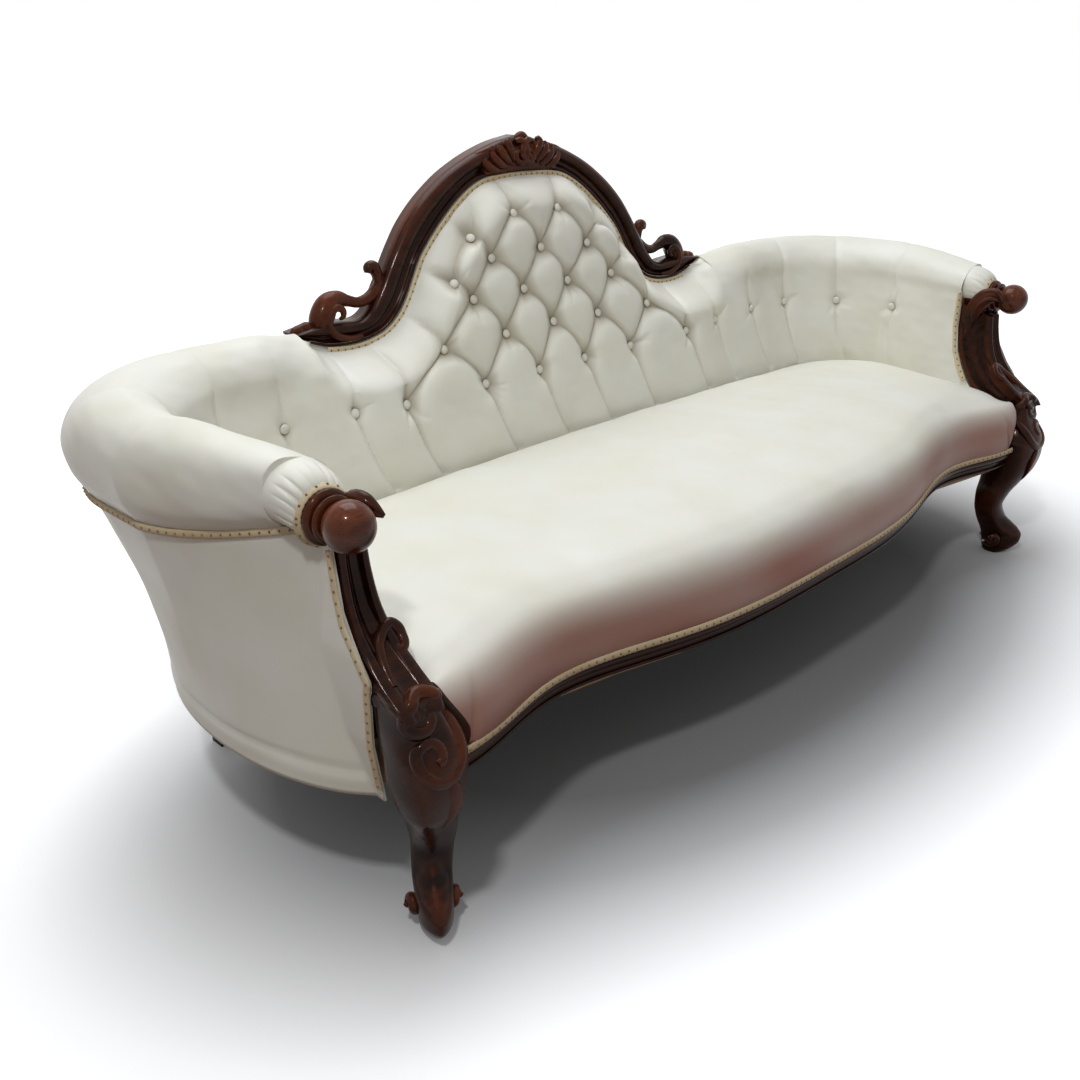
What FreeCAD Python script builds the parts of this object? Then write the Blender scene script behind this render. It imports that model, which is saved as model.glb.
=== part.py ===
"""Double-ended Victorian show-wood settee with a deep-buttoned camel back.

Millimetres, +Z up, +X to the sitter's left as seen from the front, +Y to the back.
All sizes below are measured from the line through the toes of the front feet;
every piece is moved back by MID_DEPTH when it is written, which puts the origin
on the floor under the middle of the whole settee.
"""
import FreeCAD, Part
import math
import os
from collections import namedtuple

Vector = FreeCAD.Vector

# Clearances
SOFT_GAP = 0.3           # between a padded face and the wood or pad beside it
JOINT_GAP = 0.3          # between a shaped wooden piece and the one that carries it

# Inner face of arms, corners and back at the height of the single button row
ARM_INNER = 956.0        # from the centre line, at the corner
ARM_TOE_IN = 53.0        # how much nearer the arm stands behind its support
ARM_INNER_FRONT = ARM_INNER - ARM_TOE_IN
PAD_FRONT_Y = 185.0      # where the roll reaches its pleated front end
CORNER_Y = 409.0         # where the arm turns into the corner
CORNER_RADIUS = 228.0
CREST_HALF = 584.0       # tip of the crest from the centre line

# Front show-wood rail, serpentine in plan
LEG_INSET = 4.0          # middle of a front leg inside the arm's inner line
LEG_X = ARM_INNER_FRONT - LEG_INSET
LEG_Y = 14.0             # middle of a front leg behind the toe line
RAIL_TOP = 271.0         # top of the show-wood rail above the floor
RAIL_HEIGHT = 38.0
RAIL_DEPTH = 40.0        # front to back
RAIL_BULGE = 43.0        # how far the middle stands forward of the toe line
RAIL_RECESS = 32.0       # how far the hollows lie behind it
RECESS_X = 620.0         # where the hollows are deepest
RAIL_END_FORWARD = 8.0   # how far the rail's ends stand forward
BULGE_FLATNESS = 1.8     # power that flattens the middle bulge
RAIL_BEAD = 7.0          # radius of the bead along the top of the rail

# Hidden beech seat frame
FRAME_TOP = 285.0
FRAME_HEIGHT = 73.0
FRAME_BOARD = 26.0       # thickness of its boards
FRAME_INSET = 16.0       # its outer face inside the line of the outside panels
BLOCK_HEIGHT = 50.0      # of the blocks glued into its corners
BOW_INSET = 88.0         # where the bowed ends start, inside the arm's inner line
BOW_X = ARM_INNER - BOW_INSET
BOW_OUT = 153.0          # how far the ends bow out
BOW_MIDDLE_Y = 345.0     # middle of the bow behind the toe line
BOW_HALF_DEPTH = 300.0   # half of its depth

# Roll over arms and back
ROLL_WIDTH = 126.0
ROLL_FRONT_WIDTH = 95.0
ROLL_CORNER_RADIUS = 240.0
ROLL_TOP = 688.0
ROLL_FRONT_TOP = 664.0
BRAID_Z = 545.0          # underside of the roll, where the braid runs
BRAID_FRONT_Z = 580.0
BRAID_INSET = 22.0       # braid line inside the widest line of the roll

# Pads
PAD_THICKNESS = 38.0
ARM_RAKE = 8.0           # how far the foot of the pad stands in from its button line
BACK_RAKE = 62.0
PAD_SWELL = 12.0         # swell of the pads between seat and roll
ROLL_START_Z = 590.0     # where the flat of the pad turns into the roll

# Outside panels
PANEL_THICKNESS = 4.0
PANEL_TURNS = 8          # facets of a panel round the corner
PANEL_FACETS = 6         # and up its sweep
TOP_RAIL_HEIGHT = 28.0
TOP_RAIL_INSET = 20.0    # its outer face inside the braid line
UPRIGHT_THICKNESS = 16.0
UPRIGHT_WIDTH = 46.0
UPRIGHT_DROP = 4.0       # room over an upright for the slope of the top rail
ARM_UPRIGHT_Y = 290.0
PANEL_BOTTOM = 205.0

# Seat
SEAT_CROWN = 425.0       # height of the middle of the seat
SEAT_EDGE = 392.0        # height along its ends and back
SEAT_NOSE = 62.0         # radius of its rounded front edge
SEAT_END_DROP = 16.0     # how much lower the crown is at the ends
WELL_MARGIN = 80.0       # width of the solid border round the spring well
WELL_TOP = 368.0
CANVAS = 2.0
DUST_COVER = 1.0
SEAT_SETBACK = 3.0       # seat front behind the face of the rail

# Tufting of the back
TUFT_X = 69.0            # half the distance between two buttons of a row
TUFT_Z = 74.0            # between rows
TUFT_FIRST_Z = 531.0     # lowest row
TUFT_ROWS = 5
TUFT_PUFF = 24.0         # height of a diamond over its pleats
TUFT_COLUMNS = 3         # steps from the middle to the last button of the lowest row
BUTTON_MARGIN = 0.6      # share of the rolled margin that a button keeps from the crest
BUTTON_RADIUS = 9.0
BUTTON_SHANK = 8.6       # from the bottom of the dimple to the button's rim
SHANK_LIFT = 1.2         # from the bottom of the dimple to the tip of the shank
SIDE_BUTTON_Z = 537.0
SIDE_BUTTON_X = 685.0
SIDE_BUTTON_TURNS = [31.5, 67.5]
SIDE_BUTTON_Y = [270.0, 386.0]
MARGIN_WIDTH = 70.0      # rolled margin of the buttoned back along the crest
PAD_BEHIND_FACE = 10.0   # back of the pad behind the crest's face at its top
BACK_PAD_FOOT_Y = 620.0  # back of the pad at its foot
BACK_PAD_KNEE = (652.0, 470.0)   # depth and height where its back turns outwards
BACK_PAD_HIP_Z = 590.0   # where its back reaches the plane of the crest

# Crest
CREST_TOP = 980.0
CREST_THICKNESS = 42.0
CREST_DRAWN_HALF = 584.0 # half width at which the crest's outline is drawn
CREST_RAKE = 0.085       # backward lean of the crest, per unit of height
CREST_FACE_Y = 725.0     # front of the crest at the height of its tips
CREST_TIP_Z = 666.0
CREST_ARCH_INNER = 904.0 # inner edge of the arch over the middle
CARVING_DEPTH = 16.0     # how far the carved middle stands forward

# Arm supports
SUPPORT_WIDTH = 66.0
SUPPORT_LEAN = 0.10      # outward lean, per unit of height
SUPPORT_OFFSET = 21.0    # middle of the support's foot outside the middle of the leg
SUPPORT_X = LEG_X + SUPPORT_OFFSET
SUPPORT_BACK_Y = 109.0   # back of its foot
LEG_TOP = 382.0          # joint between front leg and arm support
LEG_SQUARE = 39.0        # from the middle of the front leg to each face of its square
LEG_CLEAR = 7.0          # between the leg's square and the seat
SCROLL_OFFSET = 24.0     # axis of the turned ball and collar outside the support's foot
SCROLL_X = SUPPORT_X + SCROLL_OFFSET
SCROLL_Z = 600.0
BALL_RADIUS = 33.0
BALL_LENGTH = 66.0
BALL_CUT = 0.8           # where the egg is cut off against the collar, as a share of its half
COLLAR_RADIUS = 37.0
COLLAR_LENGTH = 24.0
TURNED_FACETS = 20       # round a turned piece
COLLAR_FRONT_Y = 112.0
BOSS_RADIUS = 34.0       # boss behind the collar, inside the pleated roll end
FAN_DEPTH = 44.0
FAN_PLEATS = 16
PANEL_FRONT_Y = 62.0     # front edge of the outside panel behind the leg
ROLL_CUT_Z = 558.0       # under the pleated end, where pad and panel step back to it

# Scroll feet
VOLUTE_RADIUS = 14.0     # of the small side scrolls of a front foot

# Back legs
BACK_LEG_INSET = 10.0    # middle of a back leg inside the start of the bow
BACK_LEG_X = BOW_X - BACK_LEG_INSET
BACK_LEG_Y = 618.0
BACK_LEG_SIZE = 42.0
BACK_LEG_FOOT = 32.0
BACK_LEG_SPLAY = 12.0    # how far the foot stands outside the top
BACK_LEG_RAKE = 8.0      # and behind it

# Springs
SPRINGS_PER_ROW = 6
SPRING_RADIUS = 38.0
SPRING_WAIST = 24.0
SPRING_WIRE = 2.0        # half of the wire's thickness
SPRING_TURNS = 3
SPRING_SIDES = 8
WEBS_ACROSS = 7
WEB_PITCH = 220.0
WEB_WIDTH = 50.0
WEB_THICKNESS = 1.0
WEB_LONG_Y = [240.0, 390.0]
PAD_LOW_Z = FRAME_TOP + 2 * WEB_THICKNESS + SOFT_GAP   # lower edge of every pad on the frame

# Depth of the whole settee, from the front of the rail to the back of the crest
FRONT_REACH = 46.0
BACK_REACH = 797.0
MID_DEPTH = (BACK_REACH - FRONT_REACH) / 2

Station = namedtuple("Station", "inner out roll foot top braid rake")


def spot(x, y, z):
    """A point."""
    return Vector(x, y, z)


def arc_points(start, middle, end, count):
    """Evenly spaced points of an arc through three points, without its start."""
    if (middle - start).cross(end - start).Length < 1e-3 * (end - start).Length:
        return [end]
    return Part.Arc(start, middle, end).toShape().discretize(count + 1)[1:]


def ring(corners, bulges, facets=3):
    """Closed outline through the corners; each side bows out by its bulge, in short flat facets."""
    middle = sum(corners, Vector()) * (1.0 / len(corners))
    normal = Vector()
    for index, corner in enumerate(corners):
        following = corners[(index + 1) % len(corners)]
        normal += (corner - middle).cross(following - middle)
    normal.normalize()
    points = []
    for index, corner in enumerate(corners):
        following = corners[(index + 1) % len(corners)]
        if bulges[index]:
            outward = (following - corner).cross(normal)
            outward.normalize()
            halfway = (corner + following) * 0.5 + outward * bulges[index]
            points += arc_points(corner, halfway, following, facets)
        else:
            points.append(following)
    return points


def flat_face(points):
    """Flat face inside a closed outline."""
    return Part.Face(Part.makePolygon(points + [points[0]]))


def loft(outlines):
    """Solid through closed outlines of as many points each, in flat facets with flat ends."""
    faces = [flat_face(outlines[0]), flat_face(outlines[-1])]
    for near, far in zip(outlines, outlines[1:]):
        for index in range(len(near)):
            first, second = near[index - 1], near[index]
            third, fourth = far[index], far[index - 1]
            lean = (second - first).cross(fourth - first)
            if abs(lean.dot(third - first)) < 1e-6 * lean.Length:
                faces.append(flat_face([first, second, third, fourth]))
            else:
                faces.append(flat_face([first, second, third]))
                faces.append(flat_face([first, third, fourth]))
    shell = Part.makeShell(faces)
    shell.sewShape()
    solid = Part.makeSolid(shell)
    if solid.Volume < 0:
        solid.reverse()
    return solid


def prism(corners, direction):
    """Straight solid on a closed outline."""
    return flat_face(corners).extrude(direction)


def mirrored(shape):
    """The same piece on the other side of the centre line."""
    return shape.mirror(Vector(0, 0, 0), Vector(1, 0, 0))


def write(name, shape):
    """Write one piece, with its place behind the toe line turned into the settee's own frame."""
    placed = shape.copy()
    placed.translate(Vector(0, -MID_DEPTH, 0))
    if len(placed.Solids) == 1:
        placed = placed.Solids[0]
    placed.exportStep("parts/" + name + ".step")


def write_pair(name, shape):
    """Write the right-hand piece and its mirror image."""
    write("right_" + name, shape)
    write("left_" + name, mirrored(shape))


def blend(start, end, share):
    """Straight blend between two values."""
    return start + (end - start) * share


def rail_front(x):
    """Plan line of the serpentine front: forward in the middle, hollow at each side."""
    x = abs(x)
    if x < RECESS_X:
        swing = math.cos(math.pi * (x / RECESS_X) ** BULGE_FLATNESS)
        return (RAIL_RECESS - RAIL_BULGE) / 2 - (RAIL_RECESS + RAIL_BULGE) / 2 * swing
    share = (x - RECESS_X) / (leg_inner_x() - RECESS_X)
    middle = (RAIL_RECESS - RAIL_END_FORWARD) / 2
    return middle + (RAIL_RECESS + RAIL_END_FORWARD) / 2 * math.cos(math.pi * share)


def leg_inner_x():
    """Inner face of the front leg's square at the rail."""
    return LEG_X - LEG_SQUARE


def bow_x(y):
    """Outer line of the bowed frame end at a depth, as half an ellipse."""
    share = (y - BOW_MIDDLE_Y) / BOW_HALF_DEPTH
    return BOW_X + BOW_OUT * math.sqrt(max(0.0, 1 - share * share))


def frame_back_y():
    """Outer face of the seat frame at the back."""
    return BOW_MIDDLE_Y + BOW_HALF_DEPTH


def inside_frame(point):
    """Whether a plan point lies within the outer line of the seat frame."""
    if point.y > frame_back_y():
        return False
    return point.x < BOW_X or point.x < bow_x(point.y)


def foot_distance(inner, out):
    """Distance from the inner pad line outwards to the outer line of the seat frame."""
    low = -60.0
    high = 200.0
    for _ in range(40):
        middle = (low + high) / 2
        if inside_frame(inner + out * middle):
            low = middle
        else:
            high = middle
    return low


def arm_station(y):
    """Cross-section sizes of the arm at a depth behind the toe line."""
    share = (y - PAD_FRONT_Y) / (CORNER_Y - PAD_FRONT_Y)
    inner = spot(blend(ARM_INNER_FRONT, ARM_INNER, share), y, 0)
    swell = math.sin(math.pi / 2 * min(1.0, share))
    out = spot(1, 0, 0)
    return Station(inner, out, blend(ROLL_FRONT_WIDTH, ROLL_WIDTH, swell),
                   foot_distance(inner, out),
                   blend(ROLL_FRONT_TOP, ROLL_TOP, swell),
                   blend(BRAID_FRONT_Z, BRAID_Z, swell), ARM_RAKE)


def corner_reach(out):
    """Distance from the corner's centre to the roll's widest line, a rounded square in plan."""
    side = CORNER_RADIUS + ROLL_WIDTH
    shift = side - ROLL_CORNER_RADIUS
    widest = max(out.x, out.y)
    if min(out.x, out.y) * side < shift * widest:
        return side / widest
    along = shift * (out.x + out.y)
    return along + math.sqrt(along ** 2 - 2 * shift ** 2 + ROLL_CORNER_RADIUS ** 2)


def corner_station(degrees):
    """Cross-section sizes round the rear corner; 0 is the arm's end, 90 the back's."""
    turn = math.radians(degrees)
    out = spot(math.cos(turn), math.sin(turn), 0)
    centre = spot(ARM_INNER - CORNER_RADIUS, CORNER_Y, 0)
    inner = centre + out * CORNER_RADIUS
    roll = corner_reach(out) - CORNER_RADIUS
    rake = blend(ARM_RAKE, BACK_RAKE, math.sin(turn) ** 2)
    return Station(inner, out, roll, foot_distance(inner, out), ROLL_TOP, BRAID_Z, rake)


def back_station(x):
    """Cross-section sizes along the straight of the back."""
    return corner_station(90)._replace(inner=spot(x, CORNER_Y + CORNER_RADIUS, 0))


def at(station, outward, z):
    """Point of a station's cross-section."""
    point = station.inner + station.out * outward
    return spot(point.x, point.y, z)


def pad_section(station):
    """Inner pad and roll in one: up the inner face, over the roll and back under it."""
    roll_middle = (station.top + station.braid) / 2
    corners = [
        at(station, -station.rake, PAD_LOW_Z),
        at(station, -PAD_SWELL * 0.4, ROLL_START_Z),
        at(station, station.roll * 0.42, station.top),
        at(station, station.roll, roll_middle),
        at(station, station.roll - BRAID_INSET, station.braid),
        at(station, PAD_THICKNESS, station.braid),
        at(station, PAD_THICKNESS - station.rake, PAD_LOW_Z),
    ]
    return ring(corners, [PAD_SWELL, 24, 22, 8, 0, 0, 0], 4)


def panel_points(station):
    """Outer line of the outside panel: foot, middle of its hollow sweep, braid."""
    top_out = station.roll - BRAID_INSET
    hollow = 6 + 0.15 * abs(top_out - station.foot)
    foot = at(station, station.foot, PANEL_BOTTOM)
    top = at(station, top_out, station.braid - SOFT_GAP)
    middle = (foot + top) * 0.5 - station.out * hollow
    return foot, middle, top


def panel_section(station):
    """Thin closed section of the outside panel."""
    foot, middle, top = panel_points(station)
    inward = station.out * -PANEL_THICKNESS
    outer = [foot] + arc_points(foot, middle, top, PANEL_FACETS)
    return outer + [point + inward for point in reversed(outer)]


def board_section(station, near, far, low, high):
    """Rectangle across a board that follows the stations."""
    return [at(station, near, low), at(station, far, low), at(station, far, high), at(station, near, high)]


def leg_section(z, front, back, half, bow):
    """Four-cornered section of the splayed leg, with its front corner on the diagonal."""
    forward = spot(math.sqrt(0.5), -math.sqrt(0.5), 0)
    aside = spot(math.sqrt(0.5), math.sqrt(0.5), 0)
    centre = spot(LEG_X, LEG_Y, z)
    middle = (front + back) / 2
    corners = [centre + forward * front, centre + forward * middle + aside * half,
               centre + forward * back, centre + forward * middle - aside * half]
    return ring(corners, [bow] * 4, 3)


def arm_depths():
    """Depths at which the arm's cross-section is set out."""
    return [PAD_FRONT_Y, 215.0, 250.0, 290.0, 330.0, 370.0, CORNER_Y]


def corner_angles():
    """Angles at which the corner's cross-section is set out."""
    return [0.0, 7.9, 15.75, 23.6, 31.5, 40.5, 49.5, 58.5, 67.5, 78.75, 90.0]


def corner_back_x():
    """Where the corner ends and the straight back begins."""
    return ARM_INNER - CORNER_RADIUS


def rail_back(x):
    """Back of the show-wood rail."""
    return rail_front(x) + RAIL_DEPTH


def rail_stations():
    """Places along the front rail, leg to leg."""
    half = [0.0, 120.0, 240.0, 360.0, 480.0, RECESS_X, 740.0, leg_inner_x() - JOINT_GAP]
    return [-x for x in reversed(half[1:])] + half


def build_front_rail():
    """Moulded serpentine show-wood rail and the plain beech rail behind it."""
    sections = []
    bottom = RAIL_TOP - RAIL_HEIGHT
    for x in rail_stations():
        front = rail_front(x)
        back = rail_back(x)
        corners = [spot(x, back, bottom), spot(x, front + 12, bottom), spot(x, front + 6, bottom + 12),
                   spot(x, front + 5, RAIL_TOP - 2 * RAIL_BEAD), spot(x, front + 5, RAIL_TOP),
                   spot(x, back, RAIL_TOP)]
        sections.append(ring(corners, [0, 3, -4, RAIL_BEAD * 0.9, 0, 0], 3))
    write("front_rail", loft(sections))
    low = FRAME_TOP - FRAME_HEIGHT
    near = [spot(x, rail_back(x) + JOINT_GAP, low) for x in rail_stations()]
    far = [spot(x, rail_back(x) + FRAME_BOARD, low) for x in reversed(rail_stations())]
    write("front_seat_rail", prism(near + far, spot(0, 0, FRAME_HEIGHT)))


def bow_points(inset, count):
    """Points along the bowed frame end, front to back, stepped in by the inset."""
    points = []
    for index in range(count):
        turn = math.radians(blend(-77, 84, index / (count - 1)))
        x = BOW_X + (BOW_OUT - inset) * math.cos(turn)
        y = BOW_MIDDLE_Y + (BOW_HALF_DEPTH - inset) * math.sin(turn)
        points.append(spot(x, y, 0))
    return points


def build_seat_frame():
    """Bowed side rails and straight back rail of beech, with corner blocks."""
    outer = bow_points(FRAME_INSET, 9)
    inner = bow_points(FRAME_INSET + FRAME_BOARD, 9)
    low = FRAME_TOP - FRAME_HEIGHT
    outline = [spot(point.x, point.y, low) for point in outer + list(reversed(inner))]
    write_pair("side_rail", prism(outline, spot(0, 0, FRAME_HEIGHT)))
    back = frame_back_y() - FRAME_INSET
    half = min(point.x for point in (outer[-1], inner[-1])) - JOINT_GAP
    write("back_rail", prism([spot(-half, back - FRAME_BOARD, low), spot(half, back - FRAME_BOARD, low),
                              spot(half, back, low), spot(-half, back, low)],
                             spot(0, 0, FRAME_HEIGHT)))
    low = FRAME_TOP - BLOCK_HEIGHT
    corners = [spot(x, rail_back(x) + FRAME_BOARD + JOINT_GAP, low) for x in rail_stations()[-2:]]
    corners += [spot(point.x - 1, point.y + 1, low) for point in inner[:2]]
    write_pair("front_block", prism(corners, spot(0, 0, BLOCK_HEIGHT)))
    reach = back - FRAME_BOARD - JOINT_GAP
    corners = [spot(half - 20, reach, low), spot(half - 100, reach, low)]
    corners += [spot(point.x - 1, point.y - 1, low) for point in inner[-3:-1]]
    write_pair("back_block", prism(corners, spot(0, 0, BLOCK_HEIGHT)))


def build_legs():
    """Carved cabriole front legs with scroll feet, and raked square back legs."""
    profile = [
        (0.0, 24, -18, 22, 2), (10.0, 38, -24, 27, 4), (30.0, 58, -28, 31, 5), (52.0, 63, -32, 32, 6),
        (74.0, 36, -40, 28, 6), (95.0, 8, -50, 26, 7), (124.0, 4, -58, 27, 7), (152.0, 16, -60, 31, 6),
        (184.0, 40, -57, 38, 5), (223.0, 68, -52, 47, 4), (262.0, 76, -52, 55, 3),
        (300.0, 74, -54, 60, 3), (345.0, 54, -58, 57, 3), (LEG_TOP, 34, -60, 47, 3),
    ]
    leg = loft([leg_section(*row) for row in profile])
    forward = spot(math.sqrt(0.5), -math.sqrt(0.5), 0)
    aside = spot(math.sqrt(0.5), math.sqrt(0.5), 0)
    centre = spot(LEG_X, LEG_Y, 0)
    for side in (-1, 1):
        place = centre + forward * 12 + aside * (side * 12) + spot(0, 0, 30)
        leg = leg.fuse(Part.makeCylinder(VOLUTE_RADIUS, 30, place, aside * side))
    leg = leg.common(Part.makeBox(300, 300, LEG_TOP, spot(LEG_X - 150, LEG_Y - 150, 0)))
    write_pair("front_leg", leg)
    top = square(BACK_LEG_X, BACK_LEG_Y, FRAME_TOP - FRAME_HEIGHT, BACK_LEG_SIZE)
    foot = square(BACK_LEG_X + BACK_LEG_SPLAY, BACK_LEG_Y + BACK_LEG_RAKE, 0, BACK_LEG_FOOT)
    write_pair("back_leg", loft([foot, top]))


def square(x, y, z, size):
    """Level square round a middle point."""
    half = size / 2
    return [spot(x - half, y - half, z), spot(x + half, y - half, z),
            spot(x + half, y + half, z), spot(x - half, y + half, z)]


def support_lines():
    """Front and back edge of the arm support in depth and height, from its foot to its neck."""
    return [((-10.0, LEG_TOP), (108.0, LEG_TOP)), ((26.0, 406.0), (131.0, 402.0)),
            ((62.0, 436.0), (152.0, 434.0)), ((88.0, 474.0), (171.0, 472.0)),
            ((102.0, 520.0), (181.0, 530.0)), ((108.0, 562.0), (181.0, 582.0))]


def support_room(low_y):
    """Everything in front of the arm support's back edge, down to a depth below the support."""
    edges = [(back[0] + SOFT_GAP, back[1]) for _, back in support_lines()[:-1]]
    line = [(0, 0), (low_y, 0), (low_y, LEG_TOP - 1)] + edges
    line += [(PAD_FRONT_Y, ROLL_CUT_Z), (PAD_FRONT_Y, ROLL_TOP + 50), (0, ROLL_TOP + 50)]
    return prism([spot(700, y, z) for y, z in line], spot(600, 0, 0))


def support_x(z):
    """Middle of the arm support at a height; it leans outwards."""
    return SUPPORT_X + SUPPORT_LEAN * (z - LEG_TOP)


def support_section(front, back):
    """Moulded section of the arm support: rounded nose, hollow and bead on the inner side."""
    half = SUPPORT_WIDTH / 2
    def corner(share, aside):
        y = blend(front[0], back[0], share)
        z = blend(front[1], back[1], share)
        return spot(support_x(z) + aside * half, y, z)
    corners = [corner(0.12, 1), corner(0.0, 0.3), corner(0.12, -1), corner(0.7, -0.86),
               corner(1.0, -0.94), corner(1.0, 0.94)]
    return ring(corners, [4, 4, -3, 3, 0, 2], 2)


def collar_back_y():
    """Back of the turned collar, where the support's boss begins."""
    return COLLAR_FRONT_Y + COLLAR_LENGTH


def build_arm_supports():
    """C-scrolled arm supports with turned collars and egg-shaped ball ends."""
    neck = loft([support_section(front, back) for front, back in support_lines()])
    boss_length = PAD_FRONT_Y - SOFT_GAP - collar_back_y()
    boss = Part.makeCylinder(BOSS_RADIUS, boss_length,
                             spot(SCROLL_X, collar_back_y(), SCROLL_Z), Vector(0, 1, 0))
    room = Part.makeCylinder(COLLAR_RADIUS + JOINT_GAP, COLLAR_LENGTH + BALL_LENGTH,
                             spot(SCROLL_X, collar_back_y() - COLLAR_LENGTH - BALL_LENGTH, SCROLL_Z),
                             Vector(0, 1, 0))
    write_pair("arm_support", neck.cut(room).fuse(boss))
    rim = COLLAR_RADIUS
    turned = [(rim * 0.74, 0), (rim * 0.86, 3), (rim * 0.86, 6), (rim * 0.78, 9), (rim * 0.95, 12),
              (rim, 16), (rim * 0.92, COLLAR_LENGTH)]
    write_pair("arm_collar", turned_piece(turned, COLLAR_FRONT_Y))
    egg = []
    for share in (-0.99, -0.9, -0.7, -0.4, 0.0, 0.35, 0.6, BALL_CUT):
        radius = BALL_RADIUS * math.sqrt(1 - share * share)
        egg.append((radius, (share - BALL_CUT) * BALL_LENGTH / 2))
    write_pair("arm_ball", turned_piece(egg, COLLAR_FRONT_Y))


def turned_piece(profile, start_y):
    """Piece turned about the scroll's axis, from radii and distances along it."""
    rings = []
    for radius, along in profile:
        turns = [2 * math.pi * index / TURNED_FACETS for index in range(TURNED_FACETS)]
        rings.append([spot(SCROLL_X + radius * math.cos(turn), start_y + along,
                           SCROLL_Z + radius * math.sin(turn)) for turn in turns])
    return loft(rings)


def top_rail_section(station):
    """Board that carries the roll, between the pad and the outside panel."""
    high = station.braid - SOFT_GAP
    return board_section(station, PAD_THICKNESS + 2, station.roll - BRAID_INSET - TOP_RAIL_INSET,
                         high - TOP_RAIL_HEIGHT, high)


def upright(station, width):
    """Post from the seat frame up to the top rail at a station."""
    low = FRAME_TOP
    low_out = max(rail_outer(station) - FRAME_BOARD + 2, PAD_THICKNESS - station.rake + 3)
    high_out = PAD_THICKNESS + 5
    high = station.braid - SOFT_GAP - TOP_RAIL_HEIGHT - UPRIGHT_DROP
    aside = spot(-station.out.y, station.out.x, 0) * (width / 2)
    sections = []
    for outward, z in ((low_out, low), (high_out, high)):
        near = at(station, outward, z)
        far = at(station, outward + UPRIGHT_THICKNESS, z)
        sections.append([near - aside, near + aside, far + aside, far - aside])
    return loft(sections)


def rail_outer(station):
    """Outer face of the hidden seat frame at a station."""
    return station.foot - FRAME_INSET


def build_back_frame():
    """Top rails under the roll, and the uprights between them and the seat frame."""
    turns = [index * 90 / PANEL_TURNS for index in range(PANEL_TURNS + 1)]
    half = PANEL_TURNS // 2
    arm = [arm_station(y) for y in arm_depths()] + [corner_station(turn) for turn in turns[1:half + 1]]
    back = [corner_station(turn) for turn in turns[half:]] + [back_station(CREST_HALF)]
    write_pair("arm_top_rail", loft([top_rail_section(station) for station in arm]))
    write_pair("back_top_rail", loft([top_rail_section(station) for station in back]))
    places = [(arm_station(ARM_UPRIGHT_Y), UPRIGHT_WIDTH), (corner_station(45.0), UPRIGHT_WIDTH)]
    for number, (station, width) in enumerate(places):
        write_pair(("arm_upright", "corner_upright")[number], upright(station, width))
    end = back_station(CREST_HALF + UPRIGHT_WIDTH / 2)
    write_pair("back_upright", upright(end, UPRIGHT_WIDTH))


def crest_pairs():
    """Outer and inner edge of the right-hand crest rail, from the carved middle to the tip."""
    stretch = CREST_HALF / CREST_DRAWN_HALF
    return [((outer[0] * stretch, outer[1]), (inner[0] * stretch, inner[1]))
            for outer, inner in crest_drawing()]


def crest_drawing():
    """The same edges as they are drawn, before they are fitted to the crest's half width."""
    return [((113.0, 947.0), (98.0, 898.0)), ((162.0, 928.0), (136.0, 886.0)),
            ((210.0, 904.0), (177.0, 863.0)), ((263.0, 868.0), (222.0, 828.0)),
            ((305.0, 830.0), (262.0, 790.0)), ((334.0, 794.0), (288.0, 760.0)),
            ((356.0, 762.0), (306.0, 730.0)), ((376.0, 730.0), (326.0, 697.0)),
            ((396.0, 702.0), (350.0, 668.0)), ((416.0, 680.0), (384.0, 644.0)),
            ((440.0, 670.0), (426.0, 632.0)), ((475.0, 673.0), (470.0, 629.0)),
            ((515.0, 678.0), (520.0, 634.0)), ((553.0, 682.0), (562.0, 650.0)),
            ((574.0, 684.0), (CREST_DRAWN_HALF, 664.0))]


def crest_point(x, depth, z):
    """Point of the crest at a depth behind its raked face."""
    return spot(x, CREST_FACE_Y + CREST_RAKE * (z - CREST_TIP_Z) + depth, z)


def crest_section(outer, inner):
    """Moulded section of the crest rail: inner bead, hollow and fat outer roll."""
    def corner(share, depth):
        return crest_point(blend(inner[0], outer[0], share), depth, blend(inner[1], outer[1], share))
    corners = [corner(0, 6), corner(0.22, 6), corner(0.5, 5), corner(1, 12),
               corner(1, CREST_THICKNESS), corner(0, CREST_THICKNESS)]
    return ring(corners, [-3.5, 3, -7, 0, 0, 0], 2)


def scroll_ring(x, z, radius, along_x, along_z):
    """Round section of a crest scroll whose axis runs in the given direction."""
    across = spot(-along_z, 0, along_x)
    across.normalize()
    middle = crest_point(x, CREST_THICKNESS / 2, z)
    depth = CREST_THICKNESS / 2 - 4
    corners = [middle + across * radius, middle + spot(0, depth, 0),
               middle - across * radius, middle - spot(0, depth, 0)]
    return ring(corners, [radius * 0.3] * 4, 2)


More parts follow.
